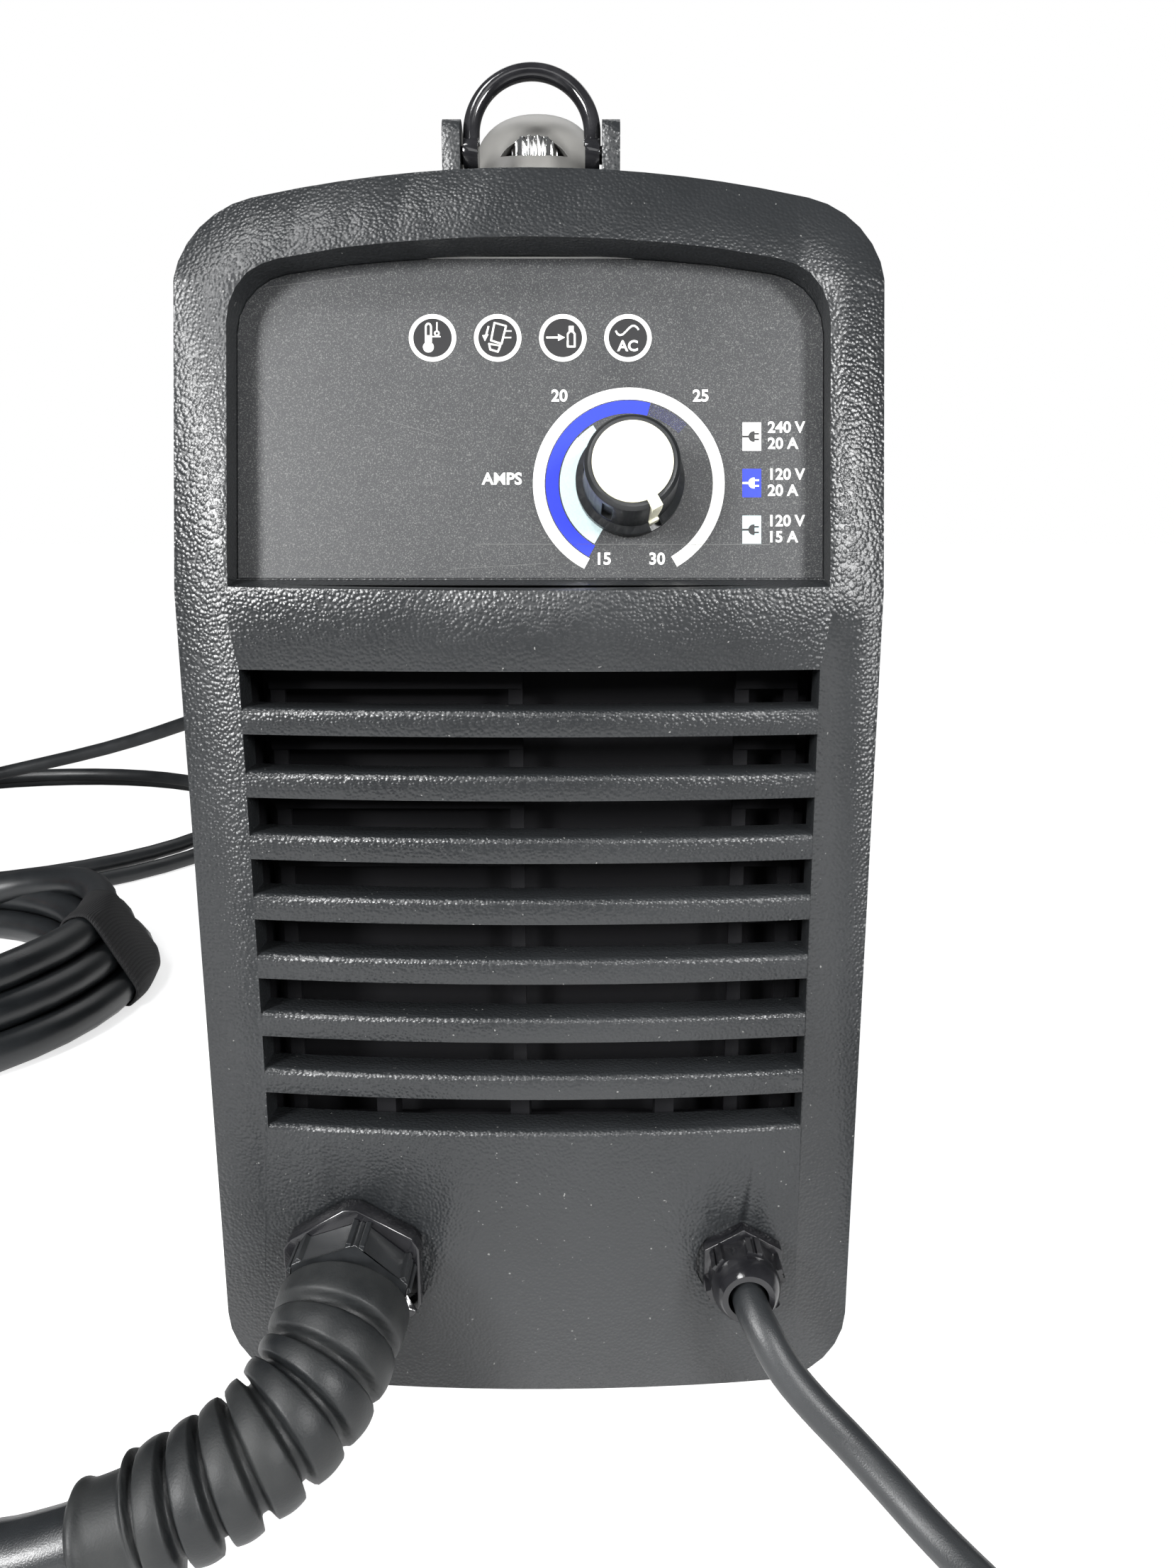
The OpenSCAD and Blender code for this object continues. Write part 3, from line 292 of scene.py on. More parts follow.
# ---------------------------------------------------------------- floor and light
# A plain pale floor that fades into a white surround, two small lamps low at the left and right,
# whose light the upper corners catch, one high at the left, a soft one over the front and a strip behind.
floor_mesh = bpy.data.meshes.new("floor")
reach = 12
floor_mesh.from_pydata([(-reach, -reach, 0), (reach, -reach, 0), (reach, reach, 0), (-reach, reach, 0)], [],
                       [(0, 1, 2, 3)])
floor = placed("floor", floor_mesh)
floor.location.z = -0.0004
floor_paint, tree, shader, coords = new_material("floor_paint", (0.80, 0.80, 0.80), 0.7)
floor_mesh.materials.append(floor_paint)
away = tree.nodes.new("ShaderNodeVectorMath")
away.operation = "LENGTH"
tree.links.new(coords, away.inputs[0])
shader.inputs["Emission Color"].default_value = (1, 1, 1, 1)
seen_by = tree.nodes.new("ShaderNodeLightPath")
glow = tree.nodes.new("ShaderNodeMix")
tree.links.new(seen_by.outputs["Is Camera Ray"], glow.inputs["Factor"])
tree.links.new(ranged(tree, away.outputs["Value"], 0.62, 0.04, 0.34, 0.62), glow.inputs["A"])
tree.links.new(ranged(tree, away.outputs["Value"], 0.72, 1.02, 0.35, 0.7), glow.inputs["B"])
tree.links.new(glow.outputs["Result"], shader.inputs["Emission Strength"])
distant = ranged(tree, away.outputs["Value"], 0, 1, 0.4, 0.8)
tree.links.new(blended(tree, distant, (0.60, 0.60, 0.60), (0.0, 0.0, 0.0)), shader.inputs["Base Color"])

world = bpy.data.worlds.new("surround")
world.use_nodes = True
scene.world = world
tree = world.node_tree
background = tree.nodes["Background"]
background.inputs["Color"].default_value = (0.95, 0.97, 1.0, 1)
background.inputs["Strength"].default_value = 0.13
seen = tree.nodes.new("ShaderNodeBackground")
seen.inputs["Color"].default_value = (1, 1, 1, 1)
seen.inputs["Strength"].default_value = 1.0
path = tree.nodes.new("ShaderNodeLightPath")
either = tree.nodes.new("ShaderNodeMath")
either.operation = "MAXIMUM"
tree.links.new(path.outputs["Is Camera Ray"], either.inputs[0])
tree.links.new(path.outputs["Is Transmission Ray"], either.inputs[1])
mix = tree.nodes.new("ShaderNodeMixShader")
tree.links.new(either.outputs[0], mix.inputs["Fac"])
tree.links.new(background.outputs[0], mix.inputs[1])
tree.links.new(seen.outputs[0], mix.inputs[2])
tree.links.new(mix.outputs[0], tree.nodes["World Output"].inputs["Surface"])


def lamp(name, place, target, size, watts):
    """A white rectangular lamp at a place, aimed at a target."""
    data = bpy.data.lights.new(name, "AREA")
    data.shape = "RECTANGLE"
    data.size, data.size_y = size
    data.energy = watts
    piece = placed(name, data)
    piece.location = place
    piece.rotation_euler = (Vector(target) - Vector(place)).to_track_quat("-Z", "Y").to_euler()


middle = (0, -0.05, 0.15)
lamp("left_lamp", (-0.85, -1.22, 0.66), middle, (0.26, 0.4), 34)
lamp("right_lamp", (0.78, -1.25, 0.66), middle, (0.24, 0.4), 24)
lamp("corner_lamp", (-0.72, -1.0, 1.75), middle, (0.5, 0.5), 20)
lamp("front_lamp", (0.1, -1.9, 1.15), middle, (1.3, 0.6), 6)
lamp("back_lamp", (0.2, 1.5, 1.8), (0, 0, 0.2), (1.8, 0.6), 7)

scene.view_settings.view_transform = "Standard"


# ---------------------------------------------------------------- front moulding
# Injection-moulded black plastic with a pebbled grain: a bowed face in three planes, eight
# louvres and the sunk control panel. Its mould edges are rounded by under a millimetre.
def boxes(name, spans):
    """A mesh of plain boxes, each given by its low and high corner in millimetres."""
    form = bmesh.new()
    for low, high in spans:
        size = [(b - a) * MM for a, b in zip(low, high)]
        centre = [(a + b) / 2 * MM for a, b in zip(low, high)]
        bmesh.ops.create_cube(form, size=1, matrix=Matrix.Translation(centre) @ Matrix.Diagonal((*size, 1)))
    return mesh_of(form, name)


def prism(name, outline, along, low, high):
    """A closed mesh pushed along an axis, 0 for X or 1 for Y, from its outline in the other two."""
    form = bmesh.new()
    rings = []
    for at in (low, high):
        ring = [(at, a, b) if along == 0 else (a, at, b) for a, b in outline]
        rings.append([form.verts.new(Vector(point) * MM) for point in ring])
    form.faces.new(rings[0])
    form.faces.new(rings[1])
    walled(form, rings)
    return closed_mesh(form, name)


def combined(mesh, other, operation):
    """The exact union or difference of two closed meshes."""
    pieces = [placed("combining", data) for data in (mesh, other)]
    modifier = pieces[0].modifiers.new("combine", "BOOLEAN")
    modifier.operation = operation
    modifier.solver = "EXACT"
    modifier.object = pieces[1]
    graph = bpy.context.evaluated_depsgraph_get()
    result = bpy.data.meshes.new_from_object(pieces[0].evaluated_get(graph))
    for piece in pieces:
        bpy.data.objects.remove(piece)
    return result


def softened(node, material, width, segments=2, limit=30, change=None):
    """A copy of a CAD node with its doubles merged and its edges rounded. It stands for the node."""
    mesh = nodes[node].data.copy()
    if change:
        mesh = change(mesh)
    form = bmesh.new()
    form.from_mesh(mesh)
    bmesh.ops.remove_doubles(form, verts=form.verts, dist=0.00001)
    bmesh.ops.dissolve_limit(form, angle_limit=math.radians(1.0), verts=form.verts, edges=form.edges)
    form.to_mesh(mesh)
    form.free()
    mesh.materials.clear()
    mesh.materials.append(material)
    piece = placed(node + "_finished", mesh)
    bevel = piece.modifiers.new("edges", "BEVEL")
    bevel.width = width
    bevel.segments = segments
    bevel.limit_method = "ANGLE"
    bevel.angle_limit = math.radians(limit)
    bevel.use_clamp_overlap = True
    bevel.miter_outer = "MITER_ARC"
    bevel.harden_normals = True
    mesh.shade_smooth()
    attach(piece, body_of[node])
    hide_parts(node)
    return piece


def pebble_material(name, colour, rough, cell=0.00085, depth=0.00011):
    """Moulded plastic with a leather-like grain of small pebbles."""
    material, tree, shader, coords = new_material(name, colour, rough)
    pebbles = tree.nodes.new("ShaderNodeTexVoronoi")
    pebbles.feature = "SMOOTH_F1"
    pebbles.inputs["Scale"].default_value = 1 / cell
    pebbles.inputs["Smoothness"].default_value = 0.35
    tree.links.new(coords, pebbles.inputs["Vector"])
    rounded = ranged(tree, pebbles.outputs["Distance"], 1, 0, 0.1, 0.75)
    under = bumped(tree, shader, rounded, depth)
    bumped(tree, shader, noise(tree, coords, 5200, 2), 0.00002, under)
    patches = noise(tree, coords, 14, 5, 0.6)
    worn = tuple(c * 1.4 + 0.002 for c in colour)
    plain = blended(tree, ranged(tree, patches, 0, 1), colour, worn)
    lint = ranged(tree, noise(tree, coords, 1150, 1, 0.4), 0, 1, 0.775, 0.81)
    tree.links.new(blended(tree, lint, plain, (0.16, 0.16, 0.155)), shader.inputs["Base Color"])
    tree.links.new(ranged(tree, patches, rough - 0.06, rough + 0.08), shader.inputs["Roughness"])
    return material


panel_lean = math.radians(12)
panel_place = Matrix.Translation(Vector((0, -171, 209.5)) * MM) @ Matrix.Rotation(-panel_lean, 4, "X")


def with_sill(mesh):
    """Cuts the slope of the recess floor, from the crease up to the lower edge of the label."""
    sill = prism("sill", [(-9, -3.4), (12.0, 4.3), (12.0, 6), (-9, 6)], 0, -67.5, 67.5)
    sill.transform(panel_place)
    return combined(mesh, sill, "DIFFERENCE")


moulding = pebble_material("pebbled_moulding", (0.010, 0.011, 0.012), 0.32)
front = softened("front_bezel", moulding, 0.7 * MM, change=with_sill)


# ---------------------------------------------------------------- panel label
# A charcoal film with a fine speckle, stuck in the sunk panel. Lines, rings and figures are
# screen-printed on it in white, blue and pale grey, a few hundredths of a millimetre thick.
label_front = 12.2 * MM
ink_t = 0.05 * MM

label_film, tree, shader, coords = new_material("label_film", (0.016, 0.017, 0.018), 0.48)
speckle = noise(tree, coords, 3000, 2, 0.75)
broad = noise(tree, coords, 60, 3, 0.6)
dark_film = blended(tree, ranged(tree, broad, 0, 1), (0.013, 0.014, 0.016), (0.019, 0.020, 0.022))
tree.links.new(blended(tree, ranged(tree, speckle, 0, 1, 0.52, 0.76), dark_film, (0.135, 0.138, 0.132)),
               shader.inputs["Base Color"])
tree.links.new(ranged(tree, broad, 0.42, 0.55), shader.inputs["Roughness"])
bumped(tree, shader, speckle, 0.00003)
window_film = new_material("window_film", (0.006, 0.006, 0.007), 0.25)[0]
for node, film in (("control_label", label_film), ("indicator_windows", window_film)):
    nodes[node].data.materials.clear()
    nodes[node].data.materials.append(film)


def ink_material(name, colour):
    """Printing ink, a little uneven where it lies on the film's speckle."""
    material, tree, shader, coords = new_material(name, colour, 0.45)
    uneven = ranged(tree, noise(tree, coords, 2500, 2), 0, 1)
    thin = tuple(c * 0.88 for c in colour)
    tree.links.new(blended(tree, uneven, thin, colour), shader.inputs["Base Color"])
    bumped(tree, shader, noise(tree, coords, 4000, 2), 0.00001)
    return material


def on_label(form, name, material):
    """Makes a printed piece of a form drawn in X and Z on the panel, in millimetres."""
    mesh = closed_mesh(form, name)
    mesh.transform(panel_place @ Matrix.Diagonal((MM, 1, MM, 1)))
    mesh.materials.append(material)
    piece = placed(name, mesh)
    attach(piece, "case")
    return piece


def slab(form, outline, layer=0):
    """Adds a flat closed slab of ink with this outline. A higher layer lies on a lower one."""
    back = label_front - layer * ink_t
    rings = [[form.verts.new((x, y, z)) for x, z in outline] for y in (back - ink_t, back)]
    form.faces.new(rings[0])
    form.faces.new(rings[1][::-1])
    count = len(outline)
    for k in range(count):
        after = (k + 1) % count
        form.faces.new((rings[0][after], rings[0][k], rings[1][k], rings[1][after]))


def arc_line(centre, radius, start, end, steps):
    return [(centre[0] + radius * math.cos(math.radians(start + (end - start) * k / steps)),
             centre[1] + radius * math.sin(math.radians(start + (end - start) * k / steps)))
            for k in range(steps + 1)]


def band(form, centre, inner, outer, start, end):
    """Adds part of a ring as short slabs, so that no face is hollow."""
    steps = max(int(abs(end - start) / 4), 1)
    ins, outs = (arc_line(centre, radius, start, end, steps) for radius in (inner, outer))
    depths = (label_front - ink_t, label_front)
    rows = [[form.verts.new((x, y, z)) for x, z in line] for y in depths for line in (ins, outs)]
    closed = abs(end - start) >= 360
    for k in range(steps):
        a, b = k, (0 if closed and k == steps - 1 else k + 1)
        form.faces.new((rows[0][a], rows[1][a], rows[1][b], rows[0][b]))
        form.faces.new((rows[2][a], rows[2][b], rows[3][b], rows[3][a]))
        form.faces.new((rows[1][a], rows[3][a], rows[3][b], rows[1][b]))
        form.faces.new((rows[0][a], rows[0][b], rows[2][b], rows[2][a]))
    if closed:
        bmesh.ops.delete(form, geom=[row[steps] for row in rows], context="VERTS")
    else:
        for k in (0, steps):
            form.faces.new((rows[0][k], rows[2][k], rows[3][k], rows[1][k]))


def stroke(form, points, width):
    """Adds a line of ink with square ends, one slab for each stretch and a dot at each bend."""
    for (x0, z0), (x1, z1) in zip(points, points[1:]):
        length = math.hypot(x1 - x0, z1 - z0)
        nx, nz = (-(z1 - z0) / length * width / 2, (x1 - x0) / length * width / 2)
        slab(form, [(x0 + nx, z0 + nz), (x0 - nx, z0 - nz), (x1 - nx, z1 - nz), (x1 + nx, z1 + nz)])
    for x, z in points[1:-1]:
        slab(form, arc_line((x, z), width / 2, 0, 330, 11), 0.02)


def block(form, x0, z0, x1, z1, layer=0):
    slab(form, [(x0, z0), (x1, z0), (x1, z1), (x0, z1)], layer)


white_ink = ink_material("white_ink", (0.78, 0.78, 0.75))
blue_ink = ink_material("blue_ink", (0.003, 0.022, 0.60))
pale_ink = ink_material("pale_ink", (0.46, 0.58, 0.59))
dark_ink = ink_material("dark_ink", (0.010, 0.010, 0.011))

dial_centre = (22.7, 26.4)
for name, ink, inner, outer, start, end in (
        ("scale_ring", white_ink, 19.4, 22.1, 242.3, -59.7),
        ("scale_blue_arc", blue_ink, 16.2, 19.15, 241.3, 75),
        ("scale_pale_arc", pale_ink, 11.1, 15.9, 240.2, 138)):
    form = bmesh.new()
    band(form, dial_centre, inner, outer, start, end)
    on_label(form, name, ink)

# The four indicator windows: a ring each, with a thermometer, a torch cup, gas supply and mains sign
lamp_z, lamp_pitch = 59.9, 15.0
lamp_centres = [((k - 1.5) * lamp_pitch, lamp_z) for k in range(4)]
signs = {
    "fine": (
        (0, [(1.0, 3.6), (1.0, 1.7)]), (0, [(-0.3, 0.3), (1.85, 0.3)]),
        (1, [(1.85, 1.58), (3.2, 1.58)]), (1, [(1.35, 0.08), (3.13, 0.08)])),
    "broad": (
        (0, [(-1.55, 0.5), (-1.55, 2.7), (-1.3, 3.15), (-0.95, 3.3), (-0.6, 3.15), (-0.35, 2.7),
             (-0.35, 0.5)]),
        (1, [(-2.1, 2.7), (-2.75, 0.3)]),
        (1, [(-0.73, 3.47), (1.93, 2.74), (0.89, -1.35), (-1.54, -0.58), (-0.73, 3.47), (1.93, 2.74)]),
        (1, [(-2.0, -1.35), (0.62, -1.8), (0.04, -3.17), (-1.7, -2.66), (-2.0, -1.35), (0.62, -1.8)]),
        (2, [(-3.8, 0.1), (-0.9, 0.1)]),
        (2, [(1.13, 0.9), (1.13, -2.0), (2.75, -2.0), (2.75, 0.9), (2.3, 1.5), (1.6, 1.5), (1.13, 0.9),
             (1.13, -0.5)]),
        (3, [(-2.8, 1.66), (-2.5, 1.0), (-1.9, 0.62), (-1.2, 0.8), (-0.5, 1.45), (0.3, 2.3), (0.9, 2.75),
             (1.5, 2.8), (2.1, 2.4), (2.45, 1.85)])),
    "solid": (
        (0, arc_line((-0.95, -2.1), 1.25, 0, 345, 23)),
        (0, [(-1.75, -1.6), (-0.15, -1.6), (-0.15, 0.6), (-1.75, 0.6)]),
        (1, [(-3.55, 0.58), (-2.93, -0.75), (-2.1, 0.85)]),
        (2, [(-1.1, 0.9), (-1.1, -0.7), (0.5, 0.1)]),
        (2, [(1.35, 1.5), (2.5, 1.5), (2.5, 2.75), (1.35, 2.75)]))}
form = bmesh.new()
for centre in lamp_centres:
    band(form, centre, 4.45, 5.46, 0, 360)
for kind, width in (("fine", 0.3), ("broad", 0.42)):
    for k, line in signs[kind]:
        stroke(form, [(x + lamp_centres[k][0], z + lamp_centres[k][1]) for x, z in line], width)
for k, outline in signs["solid"]:
    slab(form, [(x + lamp_centres[k][0], z + lamp_centres[k][1]) for x, z in outline], 0.04)
band(form, (lamp_centres[0][0] + 1.0, lamp_z + 1.05), 0.3, 0.65, 0, 360)
on_label(form, "indicator_signs", white_ink)

# The three supply keys at the right: a box each with a plug in it
key_x = (48.9, 53.2)
keys = ((33.97, 40.5, white_ink, dark_ink), (23.3, 29.8, blue_ink, white_ink),
        (12.6, 19.05, pale_ink, dark_ink))
for k, (low, high, field, plug) in enumerate(keys):
    form = bmesh.new()
    block(form, key_x[0], low, key_x[1], high)
    on_label(form, f"supply_key_{k}", field)
    middle_z = (low + high) / 2
    form = bmesh.new()
    plug_back = [(x, z + middle_z) for x, z in arc_line((51.5, 0), 1.25, 95, 265, 12)]
    slab(form, plug_back + [(51.7, middle_z - 1.25), (51.7, middle_z + 1.25)], 1)
    block(form, key_x[0], middle_z - 0.24, 50.5, middle_z + 0.24, 1.05)
    for side in (-1, 1):
        block(form, 51.4, middle_z + side * 0.65 - 0.2, 52.7, middle_z + side * 0.65 + 0.2, 1.1)
    on_label(form, f"supply_plug_{k}", plug)


# Half-tone ends of the two arcs: rows of dots that shrink as the colour fades
def fading_dots(name, material, inner, outer, start, end, rows, columns):
    """A Geometry Nodes field of dots between two radii. They shrink from the start angle to the end one."""
    tree = bpy.data.node_groups.new(name, "GeometryNodeTree")
    face = tree.interface
    face.new_socket("Geometry", in_out="OUTPUT", socket_type="NodeSocketGeometry")
    sizes = {"Inner Radius": inner, "Outer Radius": outer, "Start": start, "End": end,
             "Dot Radius": (outer - inner) / rows * 0.56}
    sockets = {}
    for label, value in sizes.items():
        sockets[label] = face.new_socket(label, in_out="INPUT", socket_type="NodeSocketFloat")
        sockets[label].default_value = value
    add = tree.nodes.new
    given = add("NodeGroupInput").outputs
    grid = add("GeometryNodeMeshGrid")
    grid.inputs["Vertices X"].default_value = columns
    grid.inputs["Vertices Y"].default_value = rows
    grid.inputs["Size X"].default_value = 1
    grid.inputs["Size Y"].default_value = 1
    place = add("GeometryNodeInputPosition")
    apart = add("ShaderNodeSeparateXYZ")
    tree.links.new(place.outputs[0], apart.inputs[0])

    def spread(value, low, high):
        node = add("ShaderNodeMapRange")
        node.inputs["From Min"].default_value = -0.5
        node.inputs["From Max"].default_value = 0.5
        for socket, source in (("To Min", low), ("To Max", high)):
            if isinstance(source, float):
                node.inputs[socket].default_value = source
            else:
                tree.links.new(source, node.inputs[socket])
        tree.links.new(value, node.inputs["Value"])
        return node.outputs["Result"]

    def maths(kind, a, b=None):
        node = add("ShaderNodeMath")
        node.operation = kind
        tree.links.new(a, node.inputs[0])
        if b is not None:
            tree.links.new(b, node.inputs[1])
        return node.outputs[0]

    radius = spread(apart.outputs["Y"], given["Inner Radius"], given["Outer Radius"])
    angle = spread(apart.outputs["X"], given["Start"], given["End"])
    joined = add("ShaderNodeCombineXYZ")
    tree.links.new(maths("MULTIPLY", radius, maths("COSINE", angle)), joined.inputs["X"])
    tree.links.new(maths("MULTIPLY", radius, maths("SINE", angle)), joined.inputs["Z"])
    moved = add("GeometryNodeSetPosition")
    tree.links.new(grid.outputs["Mesh"], moved.inputs["Geometry"])
    tree.links.new(joined.outputs[0], moved.inputs["Position"])
    dot = add("GeometryNodeMeshCylinder")
    dot.inputs["Vertices"].default_value = 8
    dot.inputs["Radius"].default_value = 1
    dot.inputs["Depth"].default_value = ink_t
    turned = add("GeometryNodeTransform")
    turned.inputs["Rotation"].default_value = (math.pi / 2, 0, 0)
    tree.links.new(dot.outputs["Mesh"], turned.inputs["Geometry"])
    share = spread(apart.outputs["X"], 1.0, 0.25)
    size = maths("MULTIPLY", share, given["Dot Radius"])
    full = add("ShaderNodeCombineXYZ")
    full.inputs["Y"].default_value = 1
    tree.links.new(size, full.inputs["X"])
    tree.links.new(size, full.inputs["Z"])
    dots = add("GeometryNodeInstanceOnPoints")
    tree.links.new(moved.outputs["Geometry"], dots.inputs["Points"])
    tree.links.new(turned.outputs["Geometry"], dots.inputs["Instance"])
    tree.links.new(full.outputs[0], dots.inputs["Scale"])
    real = add("GeometryNodeRealizeInstances")
    coat = add("GeometryNodeSetMaterial")
    coat.inputs["Material"].default_value = material
    out = add("NodeGroupOutput")
    tree.links.new(dots.outputs[0], real.inputs[0])
    tree.links.new(real.outputs[0], coat.inputs["Geometry"])
    tree.links.new(coat.outputs["Geometry"], out.inputs[0])
    maker = placed(name + "_maker", bpy.data.meshes.new(name + "_maker"))
    modifier = maker.modifiers.new("dots", "NODES")
    modifier.node_group = tree
    for label, value in sizes.items():
        modifier[sockets[label].identifier] = value
    graph = bpy.context.evaluated_depsgraph_get()
    mesh = bpy.data.meshes.new_from_object(maker.evaluated_get(graph))
    bpy.data.objects.remove(maker)
    mesh.name = name
    mesh.transform(Matrix.Translation((dial_centre[0], label_front - ink_t / 2, dial_centre[1])))
    mesh.transform(panel_place @ Matrix.Diagonal((MM, 1, MM, 1)))
    piece = placed(name, mesh)
    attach(piece, "case")
    return piece


fading_dots("blue_fade", blue_ink, 16.45, 18.9, math.radians(74.5), math.radians(46), 8, 26)
fading_dots("pale_fade", pale_ink, 11.4, 15.6, math.radians(137.5), math.radians(122), 14, 14)


# Plain figures of the scale and the supplies
def lettering(name, words, x, z, height, material, align="CENTER"):
    """Printed letters of a height in millimetres, their baseline at z."""
    data = bpy.data.curves.new(name, "FONT")
    data.body = words
    data.size = height / 0.7
    data.align_x = align
    data.offset = 0.035 * height
    data.extrude = 0.5
    data.resolution_u = 4
    source = placed(name + "_outline", data)
    graph = bpy.context.evaluated_depsgraph_get()
    mesh = bpy.data.meshes.new_from_object(source.evaluated_get(graph))
    bpy.data.objects.remove(source)
    mesh.name = name
    form = bmesh.new()
    form.from_mesh(mesh)
    bmesh.ops.remove_doubles(form, verts=form.verts, dist=0.0005)
    for vert in form.verts:
        across, up, depth = vert.co
        vert.co = (across + x, label_front - ink_t * (0.5 + depth), up + z)
    bpy.data.meshes.remove(mesh)
    return on_label(form, name, material)


figure_high = 2.65
for words, x, z in (("15", 16.8, 9.2), ("20", 6.7, 46.7), ("25", 39.3, 46.7), ("30", 29.2, 9.2),
                    ("AMPS", -6.5, 27.6)):
    lettering("figure_" + words, words, x, z - figure_high / 2, figure_high, white_ink)
lettering("mains_sign", "AC", lamp_centres[3][0], lamp_z - 2.95, 2.4, white_ink)
supplies = (("240 V", "20 A", 38.2), ("120 V", "20 A", 27.4), ("120 V", "15 A", 16.7))
for k, (volts, current, baseline) in enumerate(supplies):
    lettering(f"supply_volts_{k}", volts, 54.7, baseline, 2.5, white_ink, "LEFT")
    lettering(f"supply_current_{k}", current, 54.7, baseline - 3.7, 2.5, white_ink, "LEFT")

# Fine scratches in the film, and the light that its cut top edge catches
scuff_ink = ink_material("scuffed_film", (0.085, 0.087, 0.085))
form = bmesh.new()
for line, width in (([(-12.8, 12.5), (55.4, 12.4)], 0.16), ([(-61, 71.5), (-38, 74.2)], 0.1),
                    ([(-52, 20), (-44, 33)], 0.1), ([(-33, 41), (-21, 37.5)], 0.1),
                    ([(57, 55), (63.5, 66)], 0.1), ([(-18, 6.8), (4, 8.1)], 0.1),
                    ([(-64, 50), (-58, 41)], 0.1)):
    stroke(form, line, width)
on_label(form, "film_scratches", scuff_ink)
form = bmesh.new()
block(form, -67.2, 78.1, 67.2, 78.5)
on_label(form, "film_edge", ink_material("film_edge", (0.30, 0.30, 0.29)))


# ---------------------------------------------------------------- amperage dial
# A black moulded knob with five grip slots, a cream cap pressed in its top and a cream pointer
# that runs down its side. The three turn together on the potentiometer's shaft.
knob_plastic, tree, shader, coords = new_material("knob_plastic", (0.010, 0.011, 0.012), 0.36)
bumped(tree, shader, noise(tree, coords, 3000, 3), 0.00003)
tree.links.new(ranged(tree, noise(tree, coords, 120, 3), 0.30, 0.46), shader.inputs["Roughness"])
cap_plastic, tree, shader, coords = new_material("cap_plastic", (0.70, 0.68, 0.52), 0.33)
cap_tone = ranged(tree, noise(tree, coords, 90, 3), 0, 1)
tree.links.new(blended(tree, cap_tone, (0.68, 0.66, 0.50), (0.72, 0.70, 0.55)), shader.inputs["Base Color"])
bumped(tree, shader, noise(tree, coords, 2200, 2), 0.00001)
knob = softened("dial_knob", knob_plastic, 0.35 * MM)
cap = softened("dial_cap", cap_plastic, 0.3 * MM)


# ---------------------------------------------------------------- baffle behind the louvres
# A matt black slotted plate behind the openings, coloured darker than the other black plastics and given a
# weak reflection: partly its own black, partly painted shade behind the louvres. Walls, a floor, a roof and a
# back make it a closed box.
baffle_black_and_painted_shade, tree, shader, coords = new_material("baffle_black_and_painted_shade", (0.003, 0.003, 0.004), 0.75)
shader.inputs["Specular IOR Level"].default_value = 0.2
bumped(tree, shader, noise(tree, coords, 900, 2), 0.00003)


def with_back(mesh):
    """Gives the baffle side walls, a floor, a roof and a closed back, all joined to its two rails."""
    low, high = baffle_low, baffle_high
    half, near, far, thick = 70, -149.2, -137.5, 1.5
    walls = (((-half, near, low), (thick - half, far, high)), ((half - thick, near, low), (half, far, high)),
             ((-half, far - thick, low), (half, far, high)), ((-half, near, low), (half, far, low + thick)),
             ((-half, near, high - thick), (half, far, high)))
    for span in walls:
        mesh = combined(mesh, boxes("wall", (span,)), "UNION")
    return mesh


baffle_heights = [vert.co.z / MM for vert in nodes["inner_baffle"].data.vertices]
baffle_low, baffle_high = min(baffle_heights), max(baffle_heights)
baffle = softened("inner_baffle", baffle_black_and_painted_shade, 0.2 * MM, change=with_back)


# ---------------------------------------------------------------- glands of the leads
# The torch and work glands are each a polished hexagon base against the front and a hexagon nut
# with pairs of narrow ribs at its corners. The work gland's nut is polished and ends in a dome.
def moulded_material(name, colour, rough, grain=2400, depth=0.00002):
    """Smooth moulded plastic, slightly uneven in its shine."""
    material, tree, shader, coords = new_material(name, colour, rough)
    wear = noise(tree, coords, 130, 4, 0.6)
    lighter = tuple(c * 1.7 + 0.004 for c in colour)
    mottled(tree, shader, wear, (colour, lighter), (rough - 0.06, rough + 0.08))
    bumped(tree, shader, noise(tree, coords, grain, 2), depth)
    return material


polished_black = moulded_material("polished_black", (0.005, 0.005, 0.006), 0.15)
gland_black = moulded_material("gland_black", (0.011, 0.012, 0.013), 0.34)
gland_high = 41.5
nut_turn = 11.5
rib_deep, rib_proud, rib_half = 2.6, 0.1, 0.65
dome_r = 8.5


def turned_nut(x, base, reach, across, high, rib, bore):
    """A change of mesh: a hexagon nut turned on its axis, with a pair of narrow ribs at each corner."""
    def change(mesh):
        corner = across / 2 / math.cos(math.pi / 6)
        axis = Matrix.Translation(Vector((x, 0, gland_high)) * MM)
        angles = [math.radians(30 + 60 * k - nut_turn) for k in range(6)]
        outline = [(x + corner * math.cos(a), gland_high + corner * math.sin(a)) for a in angles]
        body = prism("nut", outline, 1, base - high, base)
        for angle in angles:
            for side in (-1, 1):
                span = ((corner - rib_deep, base - high, side * rib - rib_half),
                        (corner + rib_proud, base, side * rib + rib_half))
                bar = boxes("rib", (span,))
                bar.transform(axis @ Matrix.Rotation(-angle, 4, "Y"))
                body = combined(body, bar, "UNION")
        hole = prism("bore", arc_line((x, gland_high), bore, 0, 355, 71), 1, base - reach - 5, base + 5)
        if reach > high:
            dome = bmesh.new()
            middle = Matrix.Translation(Vector((x, base - high + 0.5, gland_high)) * MM)
            bmesh.ops.create_uvsphere(dome, u_segments=48, v_segments=24, radius=dome_r * MM,
                                      matrix=middle @ Matrix.Rotation(math.pi / 2, 4, "X"))
            body = combined(body, mesh_of(dome, "dome"), "UNION")
            for name, start, end in (("behind", base, base + 20), ("ahead", base - reach - 20, base - reach)):
                waste = boxes(name, (((x - 12, start, 25), (x + 12, end, 60)),))
                body = combined(body, waste, "DIFFERENCE")
        return combined(body, hole, "DIFFERENCE")
    return change


